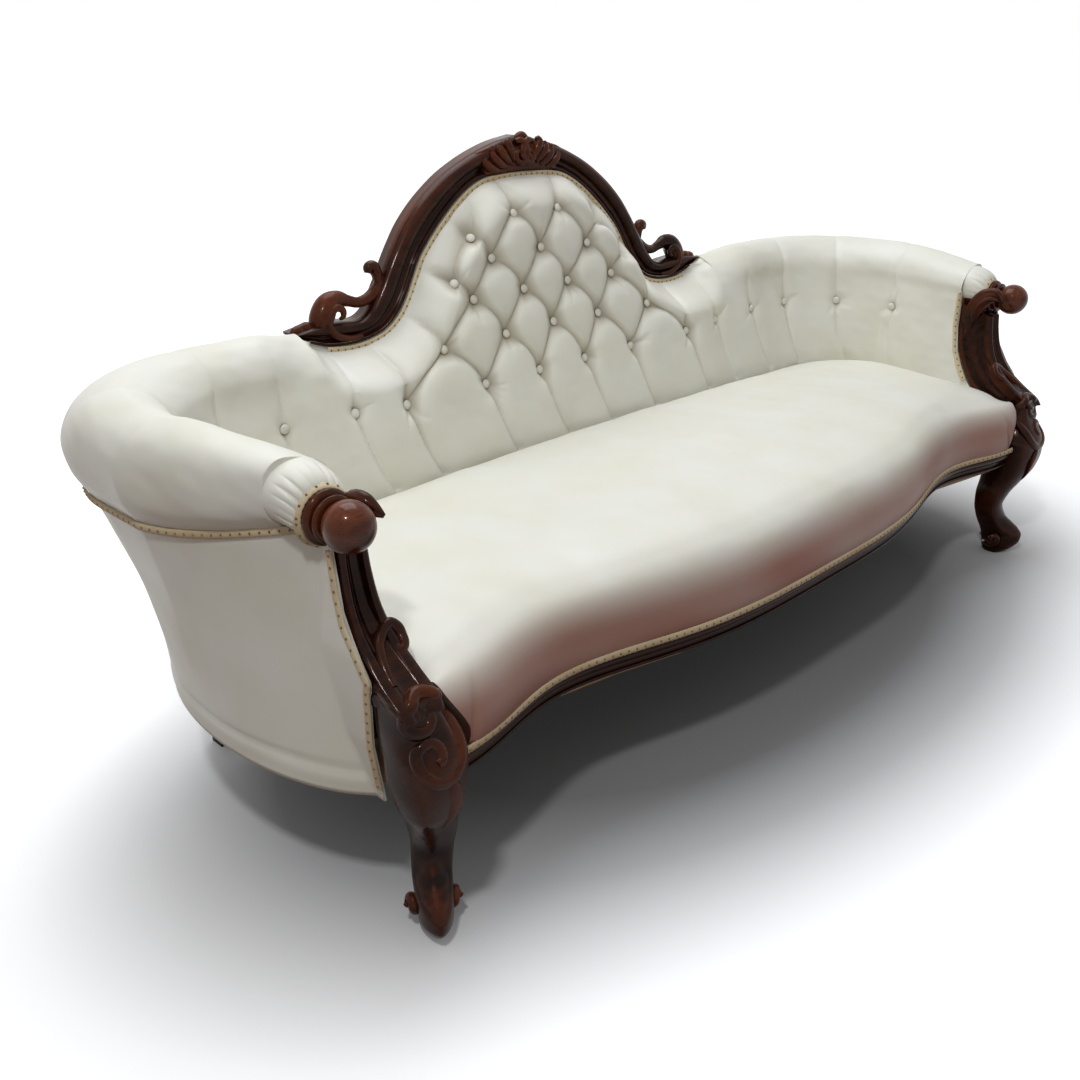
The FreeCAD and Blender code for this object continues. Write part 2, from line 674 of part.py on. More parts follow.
def build_crest():
    """Arched crest rails with pierced scroll ends, the carved middle and the board behind."""
    rail = loft([crest_section(outer, inner) for outer, inner in crest_pairs()])
    path = [(362, 744, 9), (384, 722, 12), (410, 706, 10), (440, 703, 9), (464, 707, 12),
            (488, 707, 19), (508, 692, 21), (522, 668, 18)]
    rings = []
    stretch = CREST_HALF / CREST_DRAWN_HALF
    path = [(x * stretch, z, radius) for x, z, radius in path]
    for index, (x, z, radius) in enumerate(path):
        before = path[max(0, index - 1)]
        after = path[min(len(path) - 1, index + 1)]
        rings.append(scroll_ring(x, z, radius, after[0] - before[0], after[1] - before[1]))
    scroll = loft(rings)
    knob = [scroll_ring(x * stretch, z, radius, 0.4, 1.0) for x, z, radius in
            ((378, 724, 9), (383, 740, 10), (386, 752, 17), (388, 762, 14), (389, 768, 5))]
    write_pair("crest_rail", rail.fuse(scroll).fuse(loft(knob)))
    outline = []
    for share, top in ((-1.0, 947.0), (-0.82, 956.0), (-0.6, 951.0), (-0.4, 966.0), (-0.2, 962.0),
                       (0.0, CREST_TOP), (0.2, 962.0), (0.4, 966.0), (0.6, 951.0), (0.82, 956.0),
                       (1.0, 947.0)):
        (outer_x, _), (inner_x, inner_z) = crest_pairs()[0]
        low = blend(CREST_ARCH_INNER, inner_z, share * share)
        proud = CARVING_DEPTH * (1 - share * share)
        corners = [crest_point(inner_x * share, 6 - proud * 0.5, low),
                   crest_point(blend(inner_x, outer_x, 0.5) * share, 3 - proud, (low + top) / 2),
                   crest_point(outer_x * share, 12 - proud * 0.6, top),
                   crest_point(outer_x * share, CREST_THICKNESS, top),
                   crest_point(inner_x * share, CREST_THICKNESS, low)]
        outline.append(corners)
    write("crest_carving", loft(outline))


def arch_inner_outline(gap, low):
    """Closed outline inside the crest rail, drawn in from it by the gap, down to a height."""
    side = [(inner[0] - gap, inner[1] - gap) for _, inner in crest_pairs()]
    side.append((CREST_HALF - gap, low))
    return side + [(-x, z) for x, z in reversed(side)]


def tuft_height(x, z):
    """Height of the buttoned face over its pleats: diamonds in the middle, flutes at the sides."""
    along = x / TUFT_X
    rise = (z - TUFT_FIRST_Z) / TUFT_Z + 1
    first = math.sin(math.pi * (along + rise) / 2)
    second = math.sin(math.pi * (along - rise) / 2)
    return TUFT_PUFF * math.sqrt(abs(first * second))


def pad_face_y(z):
    """Depth of the back's button line at a height."""
    table = [(PAD_LOW_Z, 592.0), (404.0, 598.0), (TUFT_FIRST_Z, 625.0), (688.0, 672.0), (830.0, 700.0),
             (CREST_ARCH_INNER, 716.0)]
    for (low, start), (high, end) in zip(table, table[1:]):
        if z <= high:
            return blend(start, end, (z - low) / (high - low))
    return table[-1][1]


def crest_face_y(z):
    """Depth of the crest's front face at a height."""
    return CREST_FACE_Y + CREST_RAKE * (z - CREST_TIP_Z)


def arch_margin(x, z):
    """How far a point lies below the crest rail's inner edge, as a share of the rolled margin."""
    pairs = crest_pairs()
    x = abs(x)
    if x <= pairs[0][1][0]:
        high = blend(CREST_ARCH_INNER, pairs[0][1][1], (x / pairs[0][1][0]) ** 2)
        return max(0.0, min(1.0, (high - z) / MARGIN_WIDTH))
    for (_, near), (_, far) in zip(pairs, pairs[1:]):
        if near[0] <= x <= far[0]:
            high = blend(near[1], far[1], (x - near[0]) / (far[0] - near[0]))
            return max(0.0, min(1.0, (high - z) / MARGIN_WIDTH))
    return 1.0


def buttoned_y(x, z):
    """Depth of the buttoned back's face at a point of its front view."""
    margin = math.sin(math.pi / 2 * arch_margin(x, z))
    puffed = pad_face_y(z) - tuft_height(x, z) * margin
    return blend(crest_face_y(z) + 4, puffed, margin)


def build_back_pad():
    """Deep-buttoned centre back: a loft through curved upright lines, cut to the crest's arch."""
    heights = [PAD_LOW_Z, 457.0]
    step = TUFT_Z / 2
    z = TUFT_FIRST_Z - step
    while z < CREST_ARCH_INNER - step:
        heights.append(z)
        z += step
    heights.append(CREST_ARCH_INNER + 2)
    sections = []
    count = int(CREST_HALF // (TUFT_X / 2)) + 1
    places = [index * TUFT_X / 2 for index in range(count)]
    if CREST_HALF - places[-1] < TUFT_X / 4:
        places.pop()
    places.append(CREST_HALF)
    for x in [-place for place in reversed(places[1:])] + places:
        corners = []
        for low, high in zip(heights, heights[1:]):
            corners += [spot(x, buttoned_y(x, z), z) for z in (low, (low + high) / 2)]
        top = heights[-1]
        corners += [spot(x, buttoned_y(x, top), top),
                    spot(x, crest_face_y(top) + PAD_BEHIND_FACE, top),
                    spot(x, crest_face_y(BACK_PAD_HIP_Z) + PAD_BEHIND_FACE, BACK_PAD_HIP_Z),
                    spot(x, BACK_PAD_KNEE[0], BACK_PAD_KNEE[1]),
                    spot(x, BACK_PAD_FOOT_Y, heights[0])]
        sections.append(corners)
    pad = loft(sections)
    outline = [spot(x, 400, z) for x, z in arch_inner_outline(SOFT_GAP, PAD_LOW_Z)]
    write("back_pad", pad.common(prism(outline, spot(0, 600, 0))))


def seat_end_points():
    """Plan line of the seat's right-hand end, front to back, clear of leg, arm and corner pads."""
    clear = ARM_RAKE + PAD_SWELL + SOFT_GAP
    leg_face = leg_inner_x() - LEG_CLEAR
    points = [spot(leg_face, rail_front(leg_face), 0), spot(leg_face, SUPPORT_BACK_Y, 0)]
    for station in [arm_station(y) for y in (SUPPORT_BACK_Y + 20, 250, 330)]:
        points.append(station.inner - station.out * clear)
    for degrees in corner_angles()[:-1]:
        station = corner_station(degrees)
        points.append(station.inner - station.out * (max(station.rake, clear) + PAD_SWELL / 2))
    points.append(spot(corner_back_x(), seat_back_y(), 0))
    return points


def seat_back_y():
    """Back edge of the seat, just clear of the back pad."""
    return CORNER_Y + CORNER_RADIUS - BACK_RAKE - SOFT_GAP - PAD_SWELL


def seat_section(x):
    """Crowned section of the seat, front to back, with its rounded nose and well behind."""
    front = rail_front(x) + SEAT_SETBACK
    back = seat_back_y()
    share = min(1.0, abs(x) / ARM_INNER)
    crown = SEAT_CROWN - SEAT_END_DROP * share ** 2
    low = RAIL_TOP + SOFT_GAP
    deck = FRAME_TOP + WEB_THICKNESS * 2 + SOFT_GAP
    ledge = front + RAIL_DEPTH - SEAT_SETBACK
    corners = [spot(x, front, low), spot(x, front - 3, low + 48), spot(x, front + SEAT_NOSE, crown - 14),
               spot(x, back, SEAT_EDGE), spot(x, back, deck), spot(x, ledge, deck), spot(x, ledge, low)]
    return ring(corners, [5, 20, 24, 0, 0, 0, 0], 5)


def build_seat():
    """Crowned serpentine seat over webbing and springs."""
    places = [-ARM_INNER] + rail_stations() + [ARM_INNER]
    loaf = loft([seat_section(x) for x in places])
    right = seat_end_points()
    left = [spot(-point.x, point.y, 0) for point in right]
    front = [spot(point.x, point.y - 100, 0) for point in (right[0], left[0])]
    outline = [front[0]] + right + list(reversed(left)) + [front[1]]
    seat = loaf.common(prism(outline, spot(0, 0, 600)))
    half = leg_inner_x() - WELL_MARGIN
    start = RAIL_RECESS + RAIL_DEPTH + FRAME_BOARD + WELL_MARGIN / 2
    length = seat_back_y() - WELL_MARGIN - start
    well = Part.makeBox(2 * half, length, WELL_TOP, spot(-half, start, 0))
    write("seat_pad", seat.cut(well))
    canvas = Part.makeBox(2 * half - 2, length - 2, CANVAS, spot(1 - half, start + 1,
                                                                  WELL_TOP - CANVAS - SOFT_GAP))
    write("spring_canvas", canvas)
    build_webbing()
    write("seat_dust_cover", dust_cover())


def dust_cover():
    """Thin cloth tacked under the seat frame."""
    low = FRAME_TOP - FRAME_HEIGHT - SOFT_GAP - DUST_COVER
    outline = [spot(x, rail_back(x) + 6, low) for x in range(-800, 801, 200)]
    bow = [spot(point.x, point.y, low) for point in bow_points(FRAME_BOARD, 7)[1:-1]]
    outline += bow + [spot(-point.x, point.y, low) for point in reversed(bow)]
    return prism(outline, spot(0, 0, DUST_COVER))


def build_webbing():
    """Strips of webbing woven over the seat frame."""
    strips = []
    back = frame_back_y() - FRAME_INSET - 4
    for number in range(WEBS_ACROSS):
        x = (number - (WEBS_ACROSS - 1) / 2) * WEB_PITCH
        start = rail_back(x) + 10
        strips.append(Part.makeBox(WEB_WIDTH, back - start, WEB_THICKNESS,
                                   spot(x - WEB_WIDTH / 2, start, FRAME_TOP)))
    for y in WEB_LONG_Y:
        end = bow_x(y) - FRAME_INSET - 4
        strips.append(Part.makeBox(2 * end, WEB_WIDTH, WEB_THICKNESS,
                                   spot(-end, y - WEB_WIDTH / 2, FRAME_TOP + WEB_THICKNESS)))
    write("seat_webbing", Part.makeCompound(strips))


def build_springs():
    """Hour-glass coil springs standing on the webbing under the canvas."""
    low = FRAME_TOP + 2 * WEB_THICKNESS + SPRING_WIRE + SOFT_GAP
    high = WELL_TOP - CANVAS - 2 * SOFT_GAP - SPRING_WIRE
    springs = []
    for y in WEB_LONG_Y:
        for number in range(SPRINGS_PER_ROW):
            x = (number - (SPRINGS_PER_ROW - 1) / 2) * WEB_PITCH
            springs.append(coil(x, y, low, high))
    write("seat_springs", Part.makeCompound(springs))


def coil(x, y, low, high):
    """One spring: a square-sectioned wire climbing round a waisted spiral."""
    sections = []
    steps = SPRING_TURNS * SPRING_SIDES
    for step in range(steps + 1):
        share = step / steps
        turn = 2 * math.pi * step / SPRING_SIDES
        radius = SPRING_WAIST + (SPRING_RADIUS - SPRING_WAIST) * (2 * share - 1) ** 2
        out = spot(math.cos(turn), math.sin(turn), 0)
        middle = spot(x, y, blend(low, high, share)) + out * radius
        up = spot(0, 0, SPRING_WIRE)
        sections.append([middle - up, middle + out * SPRING_WIRE, middle + up,
                         middle - out * SPRING_WIRE])
    return loft(sections)


def build_pads():
    """Arm, corner and side-back pads, each with its stretch of the roll, and the pleated ends."""
    depths = [SUPPORT_BACK_Y, 150.0] + arm_depths()
    arm = loft([pad_section(arm_station(y)) for y in depths])
    write_pair("arm_pad", arm.cut(support_room(SUPPORT_BACK_Y + SOFT_GAP)))
    write_pair("corner_pad", loft([pad_section(corner_station(a)) for a in corner_angles()]))
    ends = [corner_back_x(), CREST_HALF + SOFT_GAP]
    write_pair("side_back_pad", loft([pad_section(back_station(x)) for x in ends]))
    end = arm_station(PAD_FRONT_Y)
    middle = at(end, end.roll / 2, (end.top + end.braid) / 2)
    wide = star(middle, PAD_FRONT_Y - SOFT_GAP, end.roll / 2 + 2, 2.0)
    belly = star((middle + spot(SCROLL_X, 0, SCROLL_Z)) * 0.5 - spot(0, middle.y / 2, 0),
                 PAD_FRONT_Y - FAN_DEPTH / 2, end.roll / 2 - 1, 4.0)
    narrow = star(spot(SCROLL_X, 0, SCROLL_Z), PAD_FRONT_Y - FAN_DEPTH, COLLAR_RADIUS, 1.0)
    fan = loft([wide, belly, narrow])
    hole = Part.makeCylinder(BOSS_RADIUS + SOFT_GAP, 200, spot(SCROLL_X, 0, SCROLL_Z), Vector(0, 1, 0))
    side = [(front[0] - 60, front[1]) for front, _ in support_lines()]
    neck = prism([spot(700, y, z) for y, z in side + [(back[0] + SOFT_GAP, back[1] + SOFT_GAP)
                                                        for _, back in reversed(support_lines())]],
                 spot(600, 0, 0))
    write_pair("roll_end", fan.cut(hole).cut(neck))


def star(middle, y, radius, depth):
    """Pleated outline round the front of the roll."""
    corners = []
    for number in range(2 * FAN_PLEATS):
        turn = math.pi * number / FAN_PLEATS
        reach = radius - (depth if number % 2 else 0)
        corners.append(spot(middle.x + reach * math.cos(turn), y, middle.z + reach * math.sin(turn)))
    return corners


def build_panels():
    """Outside panels that flare from the seat frame up to the braid under the roll."""
    rows = [panel_section(arm_station(y)) for y in [PANEL_FRONT_Y, 90.0, 130.0, 160.0] + arm_depths()]
    write_pair("arm_panel", loft(rows).cut(support_room(PANEL_FRONT_Y)))
    turns = [index * 90 / PANEL_TURNS for index in range(PANEL_TURNS + 1)]
    write_pair("corner_panel", loft([panel_section(corner_station(turn)) for turn in turns]))
    across = panel_section(back_station(corner_back_x() - JOINT_GAP))
    write("back_panel", prism(across, spot(-2 * (corner_back_x() - JOINT_GAP), 0, 0)))
    depth = CREST_THICKNESS - 12
    outline = [crest_point(x, depth, z) for x, z in arch_inner_outline(JOINT_GAP, BRAID_Z)]
    write("crest_back_panel", prism(outline, spot(0, PANEL_THICKNESS, 0)))


def button_places():
    """Front-view places of the buttons of the middle back."""
    places = []
    for row in range(TUFT_ROWS):
        z = TUFT_FIRST_Z + row * TUFT_Z
        reach = TUFT_COLUMNS + row % 2
        for column in range(-reach, reach + 1, 2):
            if arch_margin(column * TUFT_X, z) > BUTTON_MARGIN:
                places.append((column * TUFT_X, z))
    return places


def button(middle, forward):
    """Covered button facing forward, on a tapering shank that fits the dimple behind it."""
    aside = spot(-forward.y, forward.x, 0)
    up = forward.cross(aside)
    rings = []
    for radius, height in ((1.0, SHANK_LIFT), (BUTTON_RADIUS, BUTTON_SHANK), (BUTTON_RADIUS, BUTTON_SHANK + 2),
                           (BUTTON_RADIUS * 0.45, BUTTON_SHANK + 5)):
        place = middle + forward * height
        corners = [place + aside * (radius * math.cos(turn)) + up * (radius * math.sin(turn))
                   for turn in (math.pi * number / 3 for number in range(6))]
        rings.append(corners)
    return loft(rings)


def pad_face(station, z):
    """Point on the inner face of an arm, corner or side-back pad, and the way it faces."""
    share = (z - PAD_LOW_Z) / (ROLL_START_Z - PAD_LOW_Z)
    swell = PAD_SWELL * (1 - (2 * share - 1) ** 2)
    outward = blend(-station.rake, -PAD_SWELL * 0.4, share) - swell
    return at(station, outward, z), station.out * -1


def side_button_stations():
    """Places of the single button row round side back, corner and arm."""
    return [back_station(SIDE_BUTTON_X)] + [corner_station(turn) for turn in SIDE_BUTTON_TURNS] + [
        arm_station(y) for y in SIDE_BUTTON_Y]


def build_buttons():
    """Leather-covered buttons of the middle back, then of the single row round sides and arms."""
    forward = spot(0, -1, 0)
    buttons = [button(spot(x, pad_face_y(z), z), forward) for x, z in button_places()]
    write("back_buttons", Part.makeCompound(buttons))
    row = []
    for station in side_button_stations():
        face, toward = pad_face(station, SIDE_BUTTON_Z)
        row.append(button(face - toward * (SHANK_LIFT - SOFT_GAP), toward))
    write_pair("side_buttons", Part.makeCompound(row))


def main():
    """Build and write every piece."""
    os.makedirs("parts", exist_ok=True)
    build_front_rail()
    build_seat_frame()
    build_legs()
    build_arm_supports()
    build_back_frame()
    build_crest()
    build_seat()
    build_pads()
    build_back_pad()
    build_panels()
    build_buttons()
    build_springs()


if __name__ == "__main__":
    main()
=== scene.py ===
"""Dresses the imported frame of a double-ended, button-backed settee.

Every shape is worked out in millimetres behind the line through the front toes, as a function of
two parameters on a grid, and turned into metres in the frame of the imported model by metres().
"""

import logging
from dataclasses import dataclass, field
from enum import Enum

import bpy
import numpy as np
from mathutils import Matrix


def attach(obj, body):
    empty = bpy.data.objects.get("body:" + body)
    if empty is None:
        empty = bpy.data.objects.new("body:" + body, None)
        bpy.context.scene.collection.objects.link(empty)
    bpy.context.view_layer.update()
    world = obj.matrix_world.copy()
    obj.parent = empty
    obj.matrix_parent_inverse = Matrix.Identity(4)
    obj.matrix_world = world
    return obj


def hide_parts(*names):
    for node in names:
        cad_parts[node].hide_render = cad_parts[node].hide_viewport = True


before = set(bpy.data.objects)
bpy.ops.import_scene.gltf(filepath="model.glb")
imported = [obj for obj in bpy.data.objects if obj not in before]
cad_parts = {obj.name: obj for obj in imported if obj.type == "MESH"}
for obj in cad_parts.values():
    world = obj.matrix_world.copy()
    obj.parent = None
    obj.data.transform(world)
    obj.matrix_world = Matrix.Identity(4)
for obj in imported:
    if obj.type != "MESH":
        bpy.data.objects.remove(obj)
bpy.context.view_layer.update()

Piece, Material = bpy.types.Object, bpy.types.Material
Tree, Socket = bpy.types.NodeTree, bpy.types.NodeSocket
LOG = logging.getLogger("settee")

# Millimetres: depth of the frame's origin behind the toe line; x and z of the axis of the arm
# scrolls; height of the seat frame's top, where the inside leather starts; half the width of the
# middle of the back, at the crest's tips; x at which the front rail's two sweeps meet; height at
# which a front leg ends in its arm support.
MID_DEPTH = 375.5
SCROLL_AXIS = (944.0, 600.0)
FOOT_Z = 287.3
TIP_X = 584.0
SWEEP_X = 620.0
KNEE_Z = 382.0


class Slot(Enum):
    """The record's material slots."""

    SHOW_WOOD = "show_wood"
    FRAME_WOOD = "frame_wood"
    LEATHER = "leather"
    CANVAS = "canvas"
    SPRING_STEEL = "spring_steel"


class Side(Enum):
    """Which half of the settee a piece belongs to; the value mirrors its x."""

    RIGHT = 1.0
    LEFT = -1.0

    @property
    def word(self) -> str:
        """First part of the names of this side's pieces."""
        return self.name.lower()

    @property
    def mirror(self) -> np.ndarray:
        """Factors that turn points of the right half into this side's."""
        return np.array([self.value, 1.0, 1.0])


def metres(points: np.ndarray) -> np.ndarray:
    """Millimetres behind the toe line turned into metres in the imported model's frame.

    Args:
        points: array whose last axis is x, y, z.

    Returns:
        A new array of the same shape.
    """
    moved = np.asarray(points, dtype=float) * 0.001
    moved[..., 1] -= MID_DEPTH * 0.001
    return moved


def smooth_step(value: np.ndarray, low: float, high: float) -> np.ndarray:
    """0 below low, 1 above high, and 3t^2 - 2t^3 between."""
    share = np.clip((value - low) / (high - low), 0.0, 1.0)
    return share * share * (3.0 - 2.0 * share)


def table(value: np.ndarray, rows: list) -> np.ndarray:
    """Smooth reading of a table of (place, value) rows.

    Formula: between two rows a cubic whose slopes there are the mean slopes of the neighbouring
    stretches, limited so that it never runs past either row.

    Args:
        value: places to read at.
        rows: pairs of place and value, places rising.

    Returns:
        Values, held level outside the table.
    """
    xs, ys = np.array(rows, dtype=float).T
    steps = np.diff(ys) / np.diff(xs)
    slopes = np.zeros(len(xs))
    same = steps[:-1] * steps[1:] > 0
    slopes[1:-1] = np.where(same, 2 * steps[:-1] * steps[1:] / np.where(same, steps[:-1] + steps[1:], 1), 0)
    slopes[0], slopes[-1] = steps[0], steps[-1]
    where = np.clip(value, xs[0], xs[-1])
    index = np.clip(np.searchsorted(xs, where, side="right") - 1, 0, len(xs) - 2)
    width = xs[index + 1] - xs[index]
    t = (where - xs[index]) / width
    return ((1 + 2 * t) * (1 - t) ** 2 * ys[index] + t * (1 - t) ** 2 * width * slopes[index]
            + t * t * (3 - 2 * t) * ys[index + 1] + t * t * (t - 1) * width * slopes[index + 1])


def spline(points: np.ndarray, count: int, closed: bool = False) -> np.ndarray:
    """Even samples of a smooth curve through points.

    Formula: p(t) = half of (2b + (c - a)t + (2a - 5b + 4c - d)t^2 + (3b - a - 3c + d)t^3), where a, b,
    c and d are four neighbouring points.

    Args:
        points: array (..., k, n) of k points of n numbers.
        count: number of samples.
        closed: whether the curve returns to its start.

    Returns:
        Array (..., count, n).
    """
    points = np.asarray(points, dtype=float)
    if closed:
        padded = np.concatenate([points[..., -1:, :], points, points[..., :2, :]], axis=-2)
        place = np.arange(count) / count * points.shape[-2]
    else:
        first = 2 * points[..., :1, :] - points[..., 1:2, :]
        last = 2 * points[..., -1:, :] - points[..., -2:-1, :]
        padded = np.concatenate([first, points, last], axis=-2)
        place = np.linspace(0, points.shape[-2] - 1, count)
    index = np.minimum(place.astype(int), padded.shape[-2] - 4)
    t = (place - index)[:, None]
    a, b, c, d = (padded[..., index + k, :] for k in range(4))
    return 0.5 * (2 * b + (c - a) * t + (2 * a - 5 * b + 4 * c - d) * t ** 2
                  + (3 * b - a - 3 * c + d) * t ** 3)


def ripple(s: np.ndarray, h: np.ndarray, seed: int, wave: float, count: int = 7) -> np.ndarray:
    """Gentle unevenness: the mean of plane waves of random direction, length and phase.

    Args:
        s: first coordinate in millimetres.
        h: second coordinate in millimetres.
        seed: number that fixes the waves.
        wave: shortest wavelength in millimetres.
        count: number of waves.

    Returns:
        Values between about -1 and 1.
    """
    draw = np.random.default_rng(seed)
    total = np.zeros(np.broadcast(s, h).shape)
    for _ in range(count):
        turn, phase = draw.uniform(0, 2 * np.pi, 2)
        length = wave * draw.uniform(1.0, 2.6)
        total += np.sin(2 * np.pi * (s * np.cos(turn) + h * np.sin(turn)) / length + phase)
    return total / count * 1.6


def add_mesh(name: str, points: np.ndarray, quads: np.ndarray, caps: list,
             marks: dict | None = None) -> Piece:
    """A mesh object from millimetre points, with its faces turned outwards.

    Args:
        name: object name.
        points: array (n, 3).
        quads: array (m, 4) of point indices.
        caps: lists of point indices of larger faces.
        marks: name to array of n numbers, kept as attributes for the finishes.

    Returns:
        The new object.
    """
    place = metres(points)
    quads = np.asarray(quads, dtype=np.int32).reshape(-1, 4)
    a, b, c, d = (place[quads[:, k]] for k in range(4))
    volume = np.einsum("ij,ij->", a, np.cross(b, c) + np.cross(c, d))
    for cap in caps:
        ring = place[cap]
        volume += np.einsum("ij,ij->", ring[:1].repeat(len(ring) - 2, 0), np.cross(ring[1:-1], ring[2:]))
    if volume < 0:
        quads = quads[:, ::-1]
        caps = [list(reversed(cap)) for cap in caps]
    corners = np.concatenate([quads.ravel()] + [np.array(cap, dtype=np.int32) for cap in caps])
    sizes = np.concatenate([np.full(len(quads), 4), [len(cap) for cap in caps]]).astype(np.int32)
    starts = np.concatenate([[0], np.cumsum(sizes)[:-1]]).astype(np.int32)
    mesh = bpy.data.meshes.new(name)
    mesh.vertices.add(len(place))
    mesh.vertices.foreach_set("co", place.ravel())
    mesh.loops.add(len(corners))
    mesh.loops.foreach_set("vertex_index", corners)
    mesh.polygons.add(len(sizes))
    mesh.polygons.foreach_set("loop_start", starts)
    mesh.update(calc_edges=True)
    mesh.validate()
    sides = np.empty(len(mesh.polygons), dtype=np.int32)
    mesh.polygons.foreach_get("loop_total", sides)
    mesh.polygons.foreach_set("use_smooth", sides == 4)
    edges = np.empty(len(mesh.loops), dtype=np.int32)
    mesh.loops.foreach_get("edge_index", edges)
    sharp = np.zeros(len(mesh.edges), dtype=bool)
    sharp[edges[np.repeat(sides != 4, sides)]] = True
    mesh.attributes.new("sharp_edge", "BOOLEAN", "EDGE").data.foreach_set("value", sharp)
    for mark, values in (marks or {}).items():
        layer = mesh.attributes.new(mark, "FLOAT", "POINT")
        layer.data.foreach_set("value", np.asarray(values, dtype=np.float32).ravel())
    piece = bpy.data.objects.new(name, mesh)
    bpy.context.scene.collection.objects.link(piece)
    return piece


def tube_faces(stations: int, around: int, offset: int = 0) -> tuple:
    """Quads between closed rings and the two end faces.

    Args:
        stations: number of rings.
        around: points in each ring.
        offset: index of the first point.

    Returns:
        Array of quads and a list of two end faces.
    """
    index = np.arange(stations * around).reshape(stations, around) + offset
    turned = np.roll(index, -1, axis=1)
    quads = np.stack([index[:-1], index[1:], turned[1:], turned[:-1]], axis=-1).reshape(-1, 4)
    return quads, [index[0][::-1].tolist(), index[-1].tolist()]


def relief_of(rings: np.ndarray) -> np.ndarray:
    """How far each point stands proud of its neighbours, from -1 in hollows to 1 on ridges.

    Formula: with m the mean of the neighbours two steps away along and around, and c the middle of
    the ring, relief is (p - m) . (p - c) / |p - c| in millimetres, limited to 1 either way.

    Args:
        rings: array (stations, around, 3).

    Returns:
        Array (stations, around).
    """
    along = np.concatenate([rings[:1], rings[:1], rings, rings[-1:], rings[-1:]])
    mean = (np.roll(rings, 2, axis=1) + np.roll(rings, -2, axis=1) + along[4:] + along[:-4]) / 4
    out = rings - rings.mean(axis=1, keepdims=True)
    out /= np.linalg.norm(out, axis=2, keepdims=True) + 1e-9
    return np.clip(((rings - mean) * out).sum(axis=2), -1, 1)


def tube(name: str, rings: np.ndarray, marks: dict | None = None) -> Piece:
    """Closed piece through rings of points.

    Args:
        name: object name.
        rings: array (stations, around, 3).
        marks: name to array (stations, around).

    Returns:
        The new object.
    """
    quads, caps = tube_faces(rings.shape[0], rings.shape[1])
    return add_mesh(name, rings.reshape(-1, 3), quads, caps, marks or {"relief": relief_of(rings)})


def tubes(name: str, many: list) -> Piece:
    """Several closed pieces in one object, each an array of rings.

    Args:
        name: object name.
        many: list of arrays (stations, around, 3).

    Returns:
        The new object.
    """
    quads, caps, offset = [], [], 0
    for rings in many:
        faces, ends = tube_faces(rings.shape[0], rings.shape[1], offset)
        flat = rings.reshape(-1, 3)
        a, b, c, d = (flat[faces[:, k] - offset] - flat.mean(axis=0) for k in range(4))
        if np.einsum("ij,ij->", a, np.cross(b, c) + np.cross(c, d)) < 0:
            faces = faces[:, ::-1]
            ends = [end[::-1] for end in ends]
        quads.append(faces)
        caps += ends
        offset += len(flat)
    points = np.concatenate([rings.reshape(-1, 3) for rings in many])
    return add_mesh(name, points, np.concatenate(quads), caps,
                    {"relief": np.concatenate([relief_of(rings).ravel() for rings in many])})


def frames_along(path: np.ndarray, up: np.ndarray) -> tuple:
    """Two directions square to a path at each of its points.

    Formula: the forward direction is the central difference; aside is forward cross up; over is
    aside cross forward.

    Args:
        path: array (n, 3).
        up: direction, or array of n directions, that the over direction leans to.

    Returns:
        Arrays of unit vectors aside and over, and the length along the path.
    """
    forward = np.gradient(path, axis=0)
    forward /= np.linalg.norm(forward, axis=1, keepdims=True) + 1e-9
    aside = np.cross(forward, np.broadcast_to(up, path.shape))
    aside /= np.linalg.norm(aside, axis=1, keepdims=True) + 1e-9
    over = np.cross(aside, forward)
    steps = np.linalg.norm(np.diff(path, axis=0), axis=1)
    return aside, over, np.concatenate([[0], np.cumsum(steps)])


def sweep(path: np.ndarray, up: np.ndarray, profile: np.ndarray,
          scale: np.ndarray | float = 1.0) -> np.ndarray:
    """Rings of a closed profile carried along a path.

    Args:
        path: array (n, 3).
        up: direction of the profile's second axis, one or n of them.
        profile: array (m, 2) across and over.
        scale: size of the profile, one or n of them.

    Returns:
        Array (n, m, 3).
    """
    aside, over, _ = frames_along(path, up)
    size = np.broadcast_to(scale, (len(path),))[:, None, None]
    return (path[:, None, :] + aside[:, None, :] * profile[None, :, :1] * size
            + over[:, None, :] * profile[None, :, 1:] * size)


def circle(count: int, across: float = 1.0, over: float = 1.0) -> np.ndarray:
    """Closed round profile, an ellipse of the given half sizes."""
    turn = np.arange(count) * 2 * np.pi / count
    return np.stack([across * np.cos(turn), over * np.sin(turn)], axis=1)


def dress(piece: Piece, finish: Material, slot: Slot, *nodes: str, fill: float | None = None) -> Piece:
    """Gives a new piece its finish, hides the CAD nodes that it stands for and hangs it under the root body.

    Args:
        piece: the piece.
        finish: its material.
        slot: the record's slot; not used.
        nodes: names of the CAD nodes.
        fill: how full a padded piece is; a hard piece has none. Not used.

    Returns:
        The same piece.
    """
    piece.data.materials.append(finish)
    if nodes:
        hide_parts(*nodes)
    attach(piece, "root")
    return piece


